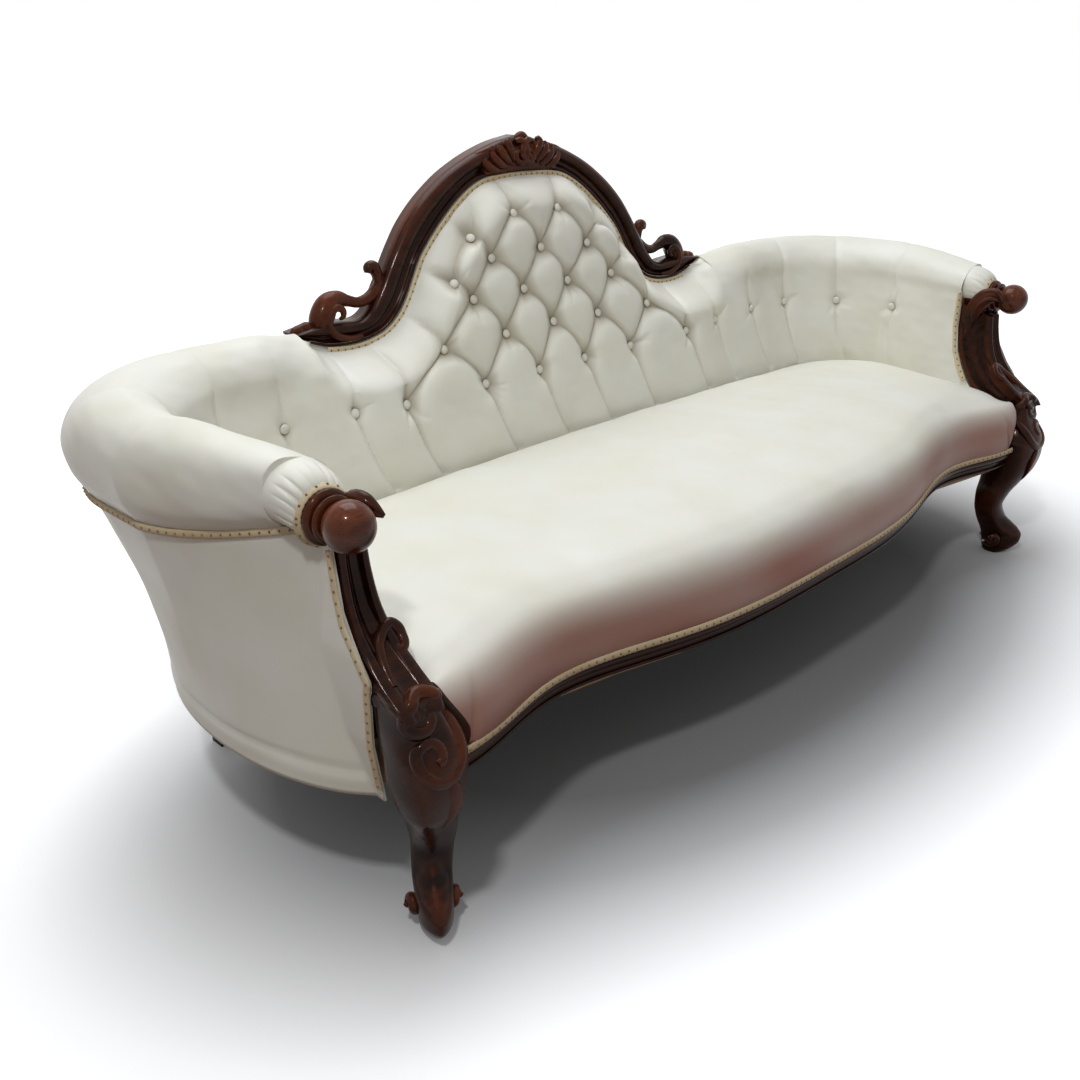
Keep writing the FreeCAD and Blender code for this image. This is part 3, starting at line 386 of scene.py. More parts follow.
@dataclass
class Stations:
    """Sizes of the cross-section at places along the inner line of back, corner and arm.

    A place s is measured from the middle of the back: straight back, quarter circle, then arm.
    """

    s: np.ndarray
    arm_inner: float = 956.0
    arm_front: float = 903.0
    front_y: float = 185.0
    corner_y: float = 409.0
    corner_radius: float = 228.0
    roll_corner: float = 240.0
    roll_width: float = 126.0
    roll_front: float = 95.0
    roll_top: float = 688.0
    roll_front_top: float = 664.0
    braid_z: float = 545.0
    braid_front_z: float = 580.0
    braid_inset: float = 22.0
    arm_rake: float = 8.0
    back_rake: float = 62.0
    low_z: float = FOOT_Z
    frame_x: float = 868.0
    frame_bow: float = 153.0
    frame_middle: float = 345.0
    frame_half: float = 300.0
    turn_z: float = 590.0

    def __post_init__(self) -> None:
        """Works out inner line, outward direction, roll, top, braid, rake and foot once."""
        straight = self.arm_inner - self.corner_radius
        bend = self.corner_radius * np.pi / 2
        turn = np.pi / 2 - np.clip((self.s - straight) / self.corner_radius, 0, np.pi / 2)
        along = np.maximum(self.s - straight - bend, 0)
        depth = self.corner_y - along
        share = (depth - self.front_y) / (self.corner_y - self.front_y)
        on_arm = along > 0
        arm_x = self.arm_front + (self.arm_inner - self.arm_front) * share
        out = np.stack([np.cos(turn), np.sin(turn)], axis=1)
        centre = np.array([straight, self.corner_y])
        inner = centre + out * self.corner_radius
        inner[:, 0] = np.where(on_arm, arm_x, inner[:, 0] - np.maximum(straight - self.s, 0))
        inner[:, 1] = np.where(on_arm, depth, inner[:, 1])
        swell = np.sin(np.pi / 2 * np.minimum(1, share))
        side = self.corner_radius + self.roll_width
        shift = side - self.roll_corner
        widest = out.max(axis=1)
        sum_out = shift * out.sum(axis=1)
        rounded = sum_out + np.sqrt(np.maximum(sum_out ** 2 - 2 * shift ** 2 + self.roll_corner ** 2, 0))
        reach = np.where(out.min(axis=1) * side < shift * widest, side / widest, rounded)
        self.inner, self.out = inner, out
        self.arm_slope = (self.arm_inner - self.arm_front) / (self.corner_y - self.front_y)
        self.roll = np.where(on_arm, self.roll_front + (self.roll_width - self.roll_front) * swell,
                             reach - self.corner_radius)
        self.top = np.where(on_arm, self.roll_front_top + (self.roll_top - self.roll_front_top) * swell,
                            self.roll_top)
        self.braid = np.where(on_arm, self.braid_front_z + (self.braid_z - self.braid_front_z) * swell,
                              self.braid_z)
        self.rake = self.arm_rake + (self.back_rake - self.arm_rake) * out[:, 1] ** 2
        self.foot = self.frame_distance()

    def frame_distance(self) -> np.ndarray:
        """Distance outwards from the inner line to the outer line of the bowed seat frame.

        Returns:
            Array of n distances, found by halving a stretch forty times.
        """
        low, high = np.full(len(self.s), -60.0), np.full(len(self.s), 200.0)
        for _ in range(40):
            middle = (low + high) / 2
            place = self.inner + self.out * middle[:, None]
            share = (place[:, 1] - self.frame_middle) / self.frame_half
            bow = self.frame_x + self.frame_bow * np.sqrt(np.maximum(0, 1 - share ** 2))
            inside = (place[:, 1] <= self.frame_middle + self.frame_half) & (place[:, 0] < bow)
            low, high = np.where(inside, middle, low), np.where(inside, high, middle)
        return low

    def points(self, outward: np.ndarray, z: np.ndarray) -> np.ndarray:
        """Points (n, m, 3) of cross-sections given as outward distances and heights (n, m)."""
        plan = self.inner[:, None, :] + self.out[:, None, :] * outward[..., None]
        return np.concatenate([plan, z[..., None]], axis=2)


def bowed(start: np.ndarray, end: np.ndarray, bulge: float | np.ndarray, count: int) -> np.ndarray:
    """Points from start towards end on a parabola that bows to the left of the way by bulge.

    Args:
        start: array (n, 2).
        end: array (n, 2).
        bulge: bow in the middle.
        count: number of points; the end itself is left out.

    Returns:
        Array (n, count, 2).
    """
    share = np.arange(count)[None, :, None] / count
    way = end - start
    left = np.stack([-way[:, 1], way[:, 0]], axis=1)
    left = left / np.linalg.norm(left, axis=1, keepdims=True)
    bow = np.broadcast_to(bulge, (len(start),))[:, None, None] * 4 * share * (1 - share)
    return start[:, None, :] + way[:, None, :] * share + left[:, None, :] * bow


def even(curves: np.ndarray, count: int) -> tuple:
    """Curves sampled again at even steps of their length.

    Args:
        curves: array (n, k, d).
        count: samples of each.

    Returns:
        Array (n, count, d) and the lengths (n, count) from each start.
    """
    steps = np.linalg.norm(np.diff(curves, axis=1), axis=2)
    lengths = np.concatenate([np.zeros((len(curves), 1)), np.cumsum(steps, axis=1)], axis=1)
    share = np.linspace(0, 1, count)
    sampled = np.empty((len(curves), count, curves.shape[2]))
    for row, (curve, length) in enumerate(zip(curves, lengths)):
        place = share * length[-1]
        sampled[row] = np.stack([np.interp(place, length, axis) for axis in curve.T], axis=1)
    return sampled, share[None, :] * lengths[:, -1:]


def normals_of(grid: np.ndarray) -> np.ndarray:
    """Unit normals of a grid of points: cross product of its two slopes.

    Args:
        grid: array (n, m, 3).

    Returns:
        Array (n, m, 3).
    """
    across = np.gradient(grid, axis=0)
    up = np.gradient(grid, axis=1)
    normal = np.cross(across, up)
    return normal / (np.linalg.norm(normal, axis=2, keepdims=True) + 1e-9)


@dataclass(frozen=True)
class Fold:
    """Crease in the laid-out leather between two places (s, h).

    The way from start to end bows sideways by 4 bow t(1 - t). With D the distance from it in
    widths, the share of the puff that is left is 1 - depth (0.6 exp(-(D / 0.38)^0.9)
    + 0.4 exp(-(D / 1.1)^1.5)): a sharp crease in a soft valley. The lip side is narrower.
    """

    start: tuple
    end: tuple
    bow: float = 0.0
    depths: tuple = (1.0, 1.0)
    sag: float = 0.25
    width: float = 26.0
    lip: float = 0.6

    def left_of(self, s: np.ndarray, h: np.ndarray) -> np.ndarray:
        """Share of the puff left at each place.

        Args:
            s: places along the back.
            h: laid-out heights.

        Returns:
            Array like s, 1 where the fold does nothing.
        """
        way = np.subtract(self.end, self.start)
        length = np.hypot(*way)
        along = ((s - self.start[0]) * way[0] + (h - self.start[1]) * way[1]) / length
        aside = ((h - self.start[1]) * way[0] - (s - self.start[0]) * way[1]) / length
        t = np.clip(along / length, 0, 1)
        off = aside - self.bow * 4 * t * (1 - t)
        beyond = along - t * length
        width = self.width * np.where(off > 0, 1.0, self.lip)
        distance = np.hypot(off / width, beyond / (self.width * 0.6))
        depth = self.depths[0] + (self.depths[1] - self.depths[0]) * t - self.sag * 4 * t * (1 - t)
        valley = 0.6 * np.exp(-(distance / 0.38) ** 0.9) + 0.4 * np.exp(-(distance / 1.1) ** 1.5)
        return 1 - np.clip(depth, 0, 1) * valley


@dataclass
class Upholstery:
    """Folds and buttons of the inside leather, in places (s, h); s is negative on the left."""

    first_row: float = 531.0
    side_row: float = 537.0
    seat_line: float = 396.0
    pit: float = 6.0
    pit_radius: float = 12.0
    buttons: list = field(default_factory=list)
    folds: list = field(default_factory=list)

    def __post_init__(self) -> None:
        """Lays out the buttons, and the folds between them."""
        rows = [[(69, self.first_row), (220, self.first_row), (421, self.first_row)],
                [(0, 618), (138, 615), (304, 612)],
                [(65, 690), (203, 688)],
                [(0, 763), (140, 757), (256, 729)],
                [(64, 839), (189, 810)]]
        links = [((0, 0), (1, 0)), ((0, 0), (1, 1)), ((0, 1), (1, 1)), ((0, 1), (1, 2)), ((0, 2), (1, 2)),
                 ((1, 0), (2, 0)), ((1, 1), (2, 0)), ((1, 1), (2, 1)), ((1, 2), (2, 1)),
                 ((2, 0), (3, 0)), ((2, 0), (3, 1)), ((2, 1), (3, 1)), ((2, 1), (3, 2)),
                 ((3, 0), (4, 0)), ((3, 1), (4, 0)), ((3, 1), (4, 1)), ((3, 2), (4, 1))]
        edges = [((64, 839), (84, 905), 5), ((189, 810), (224, 834), 4), ((189, 810), (160, 876), 4),
                 ((256, 729), (308, 742), 5), ((304, 612), (352, 672), 6), ((421, 531), (432, 628), 7)]
        side = [(538, self.side_row), (685, self.side_row), (817, self.side_row), (961, self.side_row),
                (1109, self.side_row)]
        for sign in (-1, 1):
            for row in rows:
                self.buttons += [(sign * s, h) for s, h in row if s or sign > 0]
            self.buttons += [(sign * s, h) for s, h in side]
            for (row, place), (other, column) in links:
                start, end = rows[row][place], rows[other][column]
                lean = 8 if end[0] > start[0] else -8
                self.folds.append(Fold((sign * start[0], start[1]), (sign * end[0], end[1]),
                                       bow=sign * lean, width=24))
            for start, end, bow in edges:
                self.folds.append(Fold((sign * start[0], start[1]), (sign * end[0], end[1]),
                                       bow=sign * bow, depths=(1.0, 0.35), sag=0.1, width=22))
            for s, h in [rows[0][0], rows[0][1], rows[0][2]] + side:
                reach = 46 if s < 1000 else 24
                self.folds.append(Fold((sign * s, h), (sign * s + reach, self.seat_line - 8), bow=-9,
                                       depths=(1.0, 0.45), sag=0.12, width=22, lip=0.45))
            for number, (s, h) in enumerate(side):
                top, deep = ((650, 0.6), (720, 0.8), (800, 0.9), (800, 0.9), (820, 0.9))[number]
                self.folds.append(Fold((sign * s, h), (sign * s + (-1) ** number * 9, top), bow=6 * sign,
                                       depths=(deep, 0.0), sag=0.1, width=15, lip=0.6))
        draw = np.random.default_rng(5)
        for s, h in list(self.buttons):
            for turn in draw.uniform(0, 2 * np.pi, 4):
                reach = draw.uniform(28, 58)
                end = (s + reach * np.cos(turn), h + reach * np.sin(turn))
                self.folds.append(Fold((s, h), end, bow=draw.uniform(-4, 4), depths=(0.5, 0.0), sag=0.0,
                                       width=7, lip=0.8))

    def puff(self, s: np.ndarray, h: np.ndarray) -> np.ndarray:
        """Share of the puff left at each place: the product of all the folds' shares.

        Args:
            s: places along the back.
            h: laid-out heights.

        Returns:
            Array of the shape of s and h.
        """
        share = np.ones(np.broadcast(s, h).shape)
        for fold in self.folds:
            reach = fold.width * 6 + abs(fold.bow)
            low = np.minimum(fold.start, fold.end) - reach
            high = np.maximum(fold.start, fold.end) + reach
            near = (s > low[0]) & (s < high[0]) & (h > low[1]) & (h < high[1])
            share[near] *= fold.left_of(s[near], h[near])
        return share

    def pits(self, s: np.ndarray, h: np.ndarray) -> np.ndarray:
        """Depth pulled in round the buttons: pit exp(-(d / radius)^1.5).

        Args:
            s: places along the back.
            h: laid-out heights.

        Returns:
            Array of millimetres.
        """
        depth = np.zeros(np.broadcast(s, h).shape)
        for place, height in self.buttons:
            distance = np.hypot(s - place, h - height)
            depth += self.pit * np.exp(-(distance / self.pit_radius) ** 1.5)
        return depth

    def amplitude(self, s: np.ndarray) -> np.ndarray:
        """Height of the puff: deep diamonds in the middle, shallower flutes at the sides."""
        return 27.0 - 13.0 * smooth_step(np.abs(s), 440, 600)

    def sink(self, s: np.ndarray, h: np.ndarray) -> np.ndarray:
        """How far the leather lies below its outermost line."""
        waves = ripple(s, h, 11, 60) * 1.5 + ripple(s, h, 12, 22) * 0.45
        return self.amplitude(s) * (1 - self.puff(s, h)) + self.pits(s, h) - waves


def wing_profile(stations: Stations) -> np.ndarray:
    """Outward distance and height of the inner face and roll, from the seat frame to the braid.

    Formula: parabolas through foot, turn, top, widest point and braid, smoothed by spline().
    Towards the crest's tip the top of the roll draws back and down.

    Args:
        stations: places along the run.

    Returns:
        Array (n, 96, 2).
    """
    tip = 1 - smooth_step(np.abs(stations.s), TIP_X, 700)
    ones = np.ones_like(stations.s)
    foot = np.stack([-stations.rake, stations.low_z * ones], axis=1)
    turn = np.stack([-4.8 + 5 * tip, stations.turn_z * ones], axis=1)
    top = np.stack([stations.roll * 0.42 + 39 * tip, stations.top - 19 * tip], axis=1)
    widest = np.stack([stations.roll, (stations.top + stations.braid) / 2], axis=1)
    braid = np.stack([stations.roll - stations.braid_inset, stations.braid], axis=1)
    curve = np.concatenate([bowed(foot, turn, 12, 3), bowed(turn, top, 24 - 10 * tip, 3),
                            bowed(top, widest, 22 - 10 * tip, 3), bowed(widest, braid, 8, 2),
                            braid[:, None, :]], axis=1)
    return spline(curve, 96)


def support_back(z: np.ndarray) -> np.ndarray:
    """Depth of the arm support's back, against which the pad ends, at a height."""
    return np.interp(z, [382, 402, 434, 472, 530, 582, 590, 700], [112, 134, 155, 174, 184, 185, 187, 187])


@dataclass
class CrestLine:
    """Outer and inner edges of the crest rail, and the face between them."""

    outer: list = field(default_factory=lambda: [
        (0, 972), (60, 962), (113, 947), (162, 928), (210, 904), (263, 868), (305, 830), (334, 794),
        (356, 762), (376, 730), (396, 702), (416, 680), (440, 670), (475, 672), (515, 674), (550, 672),
        (584, 667)])
    inner: list = field(default_factory=lambda: [
        (0, 904), (50, 902.5), (98, 898), (136, 886), (177, 863), (222, 828), (262, 790), (288, 760),
        (306, 730), (326, 697), (350, 668), (384, 644), (426, 632), (470, 629), (520, 634), (558, 648),
        (583, 662)])
    face_y: float = 725.0
    tip_z: float = 666.0
    rake: float = 0.085
    thickness: float = 42.0

    def face(self, z: np.ndarray) -> np.ndarray:
        """Depth of the crest's face at a height."""
        return self.face_y + self.rake * (z - self.tip_z)

    def edge_distance(self, x: np.ndarray, z: np.ndarray) -> np.ndarray:
        """Distance inwards from the crest's inner edge, the least over its stretches.

        Args:
            x: places across.
            z: heights.

        Returns:
            Array of millimetres.
        """
        line = spline(np.array(self.inner, dtype=float), 120)
        x = np.abs(x)
        least = np.full(x.shape, 1e9)
        for (ax, az), (bx, bz) in zip(line[:-1], line[1:]):
            wx, wz = bx - ax, bz - az
            t = np.clip(((x - ax) * wx + (z - az) * wz) / (wx * wx + wz * wz), 0, 1)
            least = np.minimum(least, np.hypot(x - ax - t * wx, z - az - t * wz))
        return least

    def top_of(self, x: np.ndarray) -> np.ndarray:
        """Height of the inner edge over a place."""
        line = spline(np.array(self.inner, dtype=float), 200)
        return np.interp(np.abs(x), line[:, 0], line[:, 1])


@dataclass
class InsideLeather:
    """Buttoned leather of the back, corners and arms, in one closed skin each."""

    upholstery: Upholstery = field(default_factory=Upholstery)
    crest: CrestLine = field(default_factory=CrestLine)
    columns: int = 236
    rows: int = 176
    middle_columns: int = 380
    middle_rows: int = 200
    joint: float = TIP_X
    blend_x: float = 545.0
    front_s: float = 1386.0
    cut_s: float = 1200.0
    cut_y: float = 186.0
    pad_thickness: float = 38.0
    front_tuck: float = 11.0
    tuck_reach: tuple = (1180.0, 1310.0)
    margin: float = 66.0

    def drawn_back(self, points: np.ndarray, end_y: np.ndarray | float, stations: Stations) -> np.ndarray:
        """Points of the arm pad drawn back along the arm to where its support ends it.

        Args:
            points: array (n, m, 3).
            end_y: least depth, one or (n, m) of them.
            stations: places along the run.

        Returns:
            Array (n, m, 3).
        """
        pushed = np.where(stations.s[:, None] > self.cut_s, np.maximum(end_y - points[..., 1], 0), 0)
        return points + pushed[..., None] * [stations.arm_slope, 1, 0]

    def build_wing(self, side: Side) -> Piece:
        """Side back, corner and arm with their roll.

        Formula: station profile, sunk along its normal by the folds; behind it a plain back face.

        Args:
            side: right or left.

        Returns:
            The closed piece.
        """
        s = np.linspace(self.joint, self.front_s, self.columns)
        stations = Stations(s)
        profile, length = even(wing_profile(stations), self.rows)
        base = stations.points(profile[..., 0], profile[..., 1])
        normal = normals_of(base)
        rising = int(self.rows * 0.6)
        turn_length = np.array([np.interp(stations.turn_z, row[:rising, 1], span[:rising])
                                for row, span in zip(profile, length)])
        h = np.where(length < turn_length[:, None], profile[..., 1],
                     stations.turn_z + length - turn_length[:, None])
        sink = self.upholstery.sink(side.value * s[:, None] + 0 * h, h)
        sink *= smooth_step(length[:, -1:] - length, 0, 40)
        face = base - normal * sink[..., None]
        rise = np.clip((face[..., 2] - stations.low_z) / (stations.turn_z - stations.low_z), 0, 1)
        face[..., 0] += self.front_tuck * 4 * rise * (1 - rise) * smooth_step(s, *self.tuck_reach)[:, None]
        face = self.drawn_back(face, support_back(face[..., 2]), stations)
        back_out = np.stack([np.full_like(s, self.pad_thickness), np.full_like(s, self.pad_thickness),
                             self.pad_thickness - stations.rake], axis=1)
        back_z = np.stack([stations.braid, stations.braid - 30, np.full_like(s, stations.low_z)], axis=1)
        back = self.drawn_back(stations.points(back_out, back_z), self.cut_y, stations)
        rings = np.concatenate([face, back], axis=1)
        rings[..., 0] *= side.value
        # The sink is kept as the crease mark, from which the leather paints shade into its creases.
        marks = np.concatenate([sink, np.zeros(back.shape[:2])], axis=1)
        return tube(f"{side.word}_inside_leather", rings, {"crease": marks})

    def face_depth(self, x: np.ndarray, z: np.ndarray) -> np.ndarray:
        """Outermost depth of the middle panel before it is creased.

        Formula: the button line less the puff, blended into the roll's line towards the joint, and
        drawn back to the crest's face along its edge as a quarter sine of the distance.

        Args:
            x: places across.
            z: heights.

        Returns:
            Array of depths behind the toe line.
        """
        line = table(z, [(FOOT_Z, 592), (404, 598), (531, 625), (688, 672), (830, 702), (904, 718)]) - 22
        profile = wing_profile(Stations(np.array([self.joint])))[0]
        highest = int(np.argmax(profile[:, 1]))
        wing = 637 + np.interp(z, profile[:highest, 1], profile[:highest, 0])
        joined = smooth_step(np.abs(x), 430, self.joint)
        depth = line + (wing - line) * joined
        edge = self.crest.edge_distance(x, z)
        rise = np.sin(np.pi / 2 * np.clip(edge / (self.margin + 10 * joined), 0, 1))
        rise = rise + (1 - rise) * smooth_step(np.abs(x), self.blend_x, self.joint)
        edge_y = self.crest.face(z) + 6
        return edge_y + (depth - edge_y) * rise

    def build_middle(self) -> Piece:
        """Deep-buttoned middle of the back, up to the crest's inner edge.

        Returns:
            The closed piece.
        """
        x = np.linspace(-self.joint, self.joint, self.middle_columns)
        share = np.linspace(0, 1, self.middle_rows)
        top = self.crest.top_of(x) + 3
        z = FOOT_Z + (top[:, None] - FOOT_Z) * share[None, :]
        wide = x[:, None] + 0 * z
        base = np.stack([wide, self.face_depth(wide, z), z], axis=2)
        normal = normals_of(base)
        edge = self.crest.edge_distance(wide, z)
        at_joint = 60 * smooth_step(np.abs(wide), self.blend_x, self.joint)
        sink = self.upholstery.sink(wide, z) * smooth_step(edge + at_joint, -4, 26)
        sink += 5 * np.exp(-(edge / 9) ** 2)
        face = base - normal * sink[..., None]
        low = np.interp(z[:, ::-12], [FOOT_Z, 470, 590, 688, 904], [628, 662, 724, 745, 760])
        back = np.stack([wide[:, ::-12], np.maximum(low, face[:, ::-12, 1] + 3), z[:, ::-12]], axis=2)
        rings = np.concatenate([face, back], axis=1)
        # The sink is kept as the crease mark, from which the leather paints shade into its creases.
        marks = np.concatenate([sink, np.zeros(back.shape[:2])], axis=1)
        return tube("middle_back_leather", rings, {"crease": marks})

    def build(self, leather: Material) -> list:
        """Builds and dresses the three skins.

        Args:
            leather: its finish.

        Returns:
            The three pieces.
        """
        pieces = [dress(self.build_middle(), leather, Slot.LEATHER, "back_pad", fill=0.8)]
        for side in Side:
            nodes = [f"{side.word}_{part}" for part in ("arm_pad", "corner_pad", "side_back_pad")]
            pieces.append(dress(self.build_wing(side), leather, Slot.LEATHER, *nodes, fill=0.8))
        return pieces


def rail_line(x: np.ndarray) -> np.ndarray:
    """Plan line of the serpentine front: two cosine sweeps, forward in the middle.

    Args:
        x: places across.

    Returns:
        Array of depths behind the toe line.
    """
    x = np.abs(x)
    middle = -5.5 - 37.5 * np.cos(np.pi * (np.minimum(x, SWEEP_X) / SWEEP_X) ** 1.8)
    end = 12 + 20 * np.cos(np.pi * (x - SWEEP_X) / 240)
    return np.where(x < SWEEP_X, middle, end)


@dataclass
class SeatCushion:
    """Sprung seat with a rounded front edge, crowned towards the middle."""

    columns: int = 300
    rows: int = 120
    crown: float = 425.0
    end_drop: float = 16.0
    rail_top: float = 271.3
    back_y: float = 566.0

    def end_x(self, y: np.ndarray) -> np.ndarray:
        """Half length of the seat at a depth: along leg, arm and corner."""
        return table(y, [(-20, 862), (20, 876), (60, 886), (108, 892), (129, 893), (250, 904), (330, 922),
                         (409, 936), (470, 922), (520, 888), (550, 840), (566, 784)])

    def build(self, leather: Material) -> Piece:
        """Grid across and along the section: front face, nose and crowned top, closed underneath.

        Args:
            leather: its finish.

        Returns:
            The closed piece.
        """
        u = np.linspace(-1, 1, self.columns)
        front = rail_line(u * 853) + 3
        crown = self.crown - self.end_drop * np.abs(u) ** 2
        reach = self.back_y - front
        one = np.ones_like(u)
        controls = np.stack([
            np.stack([back * one, height * one], axis=1) for back, height in (
                (8, self.rail_top - 1), (-1, 274), (-6, 292), (-4, 322), (3, 352),
                (19, 383 - 0.4 * (self.crown - crown)), (45, crown - 21), (90, crown - 8),
                (reach * 0.36, crown), (reach * 0.6, crown + 0.5), (reach * 0.85, crown - 11),
                (reach - 18, crown - 23), (reach, crown - 44), (reach, 292))], axis=1)
        profile, _ = even(spline(controls, 160), self.rows)
        y = front[:, None] + profile[..., 0]
        z = profile[..., 1]
        tucked = 24 * (1 - smooth_step(z, 300, 372)) * (1 - smooth_step(y, 100, 150))
        wide = (self.end_x(y) - tucked) * u[:, None]
        end = self.end_x(y) - np.abs(wide)
        over = smooth_step(z, 380, 396)
        z = z - over * 26 * np.exp(-np.maximum(end, 0) / 20)
        z = z + over * (2.4 * ripple(wide, y, 31, 170) + 0.7 * ripple(wide, y, 32, 45))
        dart = np.exp(-((np.abs(wide) - 838 + 0.25 * (z - 290)) / 6) ** 2) * (1 - smooth_step(z, 330, 385))
        y = y + 5 * dart * (y < front[:, None] + 40)
        grid = np.stack([wide, y, z], axis=2)
        under = grid[:, ::-1][:, ::20] * [0.97, 1, 0] + [0, 0, 289]
        under[..., 1] = np.clip(under[..., 1], front[:, None] + 42, self.back_y - 4)
        rings = np.concatenate([grid, under], axis=1)
        # Painted shade: the brown mark turns the front face below the nose reddish brown, standing in for the
        # shade and warm reflected light there.
        brown = (1 - smooth_step(rings[..., 2], 322, 402)) * (rings[..., 1] < front[:, None] + 60)
        brown = brown * (0.9 + 0.15 * ripple(rings[..., 0], rings[..., 2] * 3, 33, 260))
        piece = tube("seat_cushion", rings, {"crease": np.zeros(rings.shape[:2]),
                                             "brown": np.clip(brown, 0, 1)})
        return dress(piece, leather, Slot.LEATHER, "seat_pad", fill=0.8)


@dataclass
class OutsideLeather:
    """Outside panels: one skin that flares from the seat frame to the braid under the roll."""

    bottom: float = 205.0
    front_s: float = 1450.0
    rows: int = 60
    thickness: float = 4.0

    def front_edge(self, z: np.ndarray) -> np.ndarray:
        """Depth of the front edge beside the arm support at a height."""
        return np.interp(z, [205, 300, 382, 401, 426, 464, 500, 557, 575],
                         [60, 58, 50, 46, 61, 92, 106, 116, 118])

    def beside(self, x: np.ndarray, y: np.ndarray, z: np.ndarray) -> np.ndarray:
        """Half width of the panel, kept outside the arm support near its front edge."""
        least = np.interp(z, [205, 300, 382, 426, 464, 500, 560], [938, 953, 958, 960, 957, 954, 952])
        return x + np.maximum(least - x, 0) * (1 - smooth_step(y, 110, 260))

    def surface(self, side: Side, s: np.ndarray) -> tuple:
        """Outer face and its outward direction at places along the run.

        Formula: from foot to braid a parabola that is hollow by 6 + 0.15 times the flare.

        Args:
            side: right or left.
            s: places along the run.

        Returns:
            Grid (n, rows, 3) and directions (n, 1, 3).
        """
        stations = Stations(s)
        top_out = stations.roll - stations.braid_inset
        hollow = 6 + 0.15 * np.abs(top_out - stations.foot)
        t = np.linspace(0, 1, self.rows)[None, :]
        flare = (top_out - stations.foot)[:, None]
        outward = stations.foot[:, None] + flare * t - hollow[:, None] * 4 * t * (1 - t)
        z = self.bottom + (stations.braid[:, None] - 0.5 - self.bottom) * t
        grid = stations.points(outward, z)
        length = (z - self.bottom)
        sink = 3.0 * np.exp(-((length - 36) / 5) ** 2) - 1.2 * np.exp(-((length - 20) / 14) ** 2)
        sink = sink + 1.4 * ripple(s[:, None] + 0 * z, z * 1.6, 41, 130)
        sink = sink * smooth_step(t, 0, 0.05) * smooth_step(1 - t, 0, 0.08)
        out = np.concatenate([stations.out, np.zeros((len(s), 1))], axis=1)[:, None, :]
        grid = grid - out * sink[..., None]
        front = stations.inner[:, 1] < 400
        grid[front, :, 0] = self.beside(grid[front, :, 0], grid[front, :, 1], grid[front, :, 2])
        grid[..., 0] *= side.value
        return grid, out * side.mirror

    def build(self, leather: Material) -> Piece:
        """Left half, then right half, as one closed skin with a front end at each arm.

        Args:
            leather: its finish.

        Returns:
            The closed piece.
        """
        s = np.concatenate([np.linspace(0, 700, 60), np.linspace(704, self.front_s, 190)])
        right, out_right = self.surface(Side.RIGHT, s)
        left, out_left = self.surface(Side.LEFT, s[1:])
        outer = np.concatenate([left[::-1], right])
        out = np.concatenate([out_left[::-1], out_right])
        ahead = np.maximum(outer[..., 1], self.front_edge(outer[..., 2]))
        outer[..., 1] = np.where(np.abs(outer[..., 0]) > 880, ahead, outer[..., 1])
        inner = outer - out * self.thickness
        rings = np.concatenate([outer, inner[:, ::-1]], axis=1)
        piece = tube("outside_leather", rings, {"crease": np.zeros(rings.shape[:2])})
        return dress(piece, leather, Slot.LEATHER, "back_panel", "left_corner_panel",
                     "right_corner_panel", "left_arm_panel", "right_arm_panel", fill=0.4)


@dataclass
class RollEnd:
    """Pleated fan that closes the front of a roll, gathered to the turned collar."""

    side: Side
    axis: tuple = SCROLL_AXIS
    outline: tuple = (949.0, 621.5, 50.0, 42.0)
    start_y: float = 190.0
    collar_y: float = 138.0
    collar_radius: float = 35.0
    pleats: int = 19

    def build(self, leather: Material) -> Piece:
        """Quarter-ellipse dome from the roll's outline to the collar, with sharp radial pleats.

        Args:
            leather: its finish.

        Returns:
            The closed piece.
        """
        turn = np.linspace(0, 2 * np.pi, 228, endpoint=False)[None, :]
        rise = np.linspace(0, np.pi / 2, 40)[:, None]
        pull = np.cos(rise)
        x0, z0, half, tall = self.outline
        wave = np.abs(np.sin(turn * self.pleats / 2 + 0.5 * np.sin(3 * turn + self.side.value)))
        uneven = 0.6 + 0.4 * np.sin(5 * turn + 2 * self.side.value)
        crease = (1 - wave ** 0.45) * 4.5 * uneven * smooth_step(rise, 0.15, 0.9)
        x = (self.axis[0] + (x0 - self.axis[0]) * pull
             + (self.collar_radius + (half - self.collar_radius) * pull - crease * 0.6) * np.cos(turn))
        z = (self.axis[1] + (z0 - self.axis[1]) * pull
             + (self.collar_radius + (tall - self.collar_radius) * pull - crease * 0.6) * np.sin(turn))
        y = self.start_y - (self.start_y - self.collar_y) * np.sin(rise) + crease + 0 * turn
        rings = np.stack([x * self.side.value, y, z], axis=2)
        piece = tube(f"{self.side.word}_roll_fan", rings, {"crease": np.broadcast_to(crease, x.shape)})
        return dress(piece, leather, Slot.LEATHER, f"{self.side.word}_roll_end", fill=0.7)


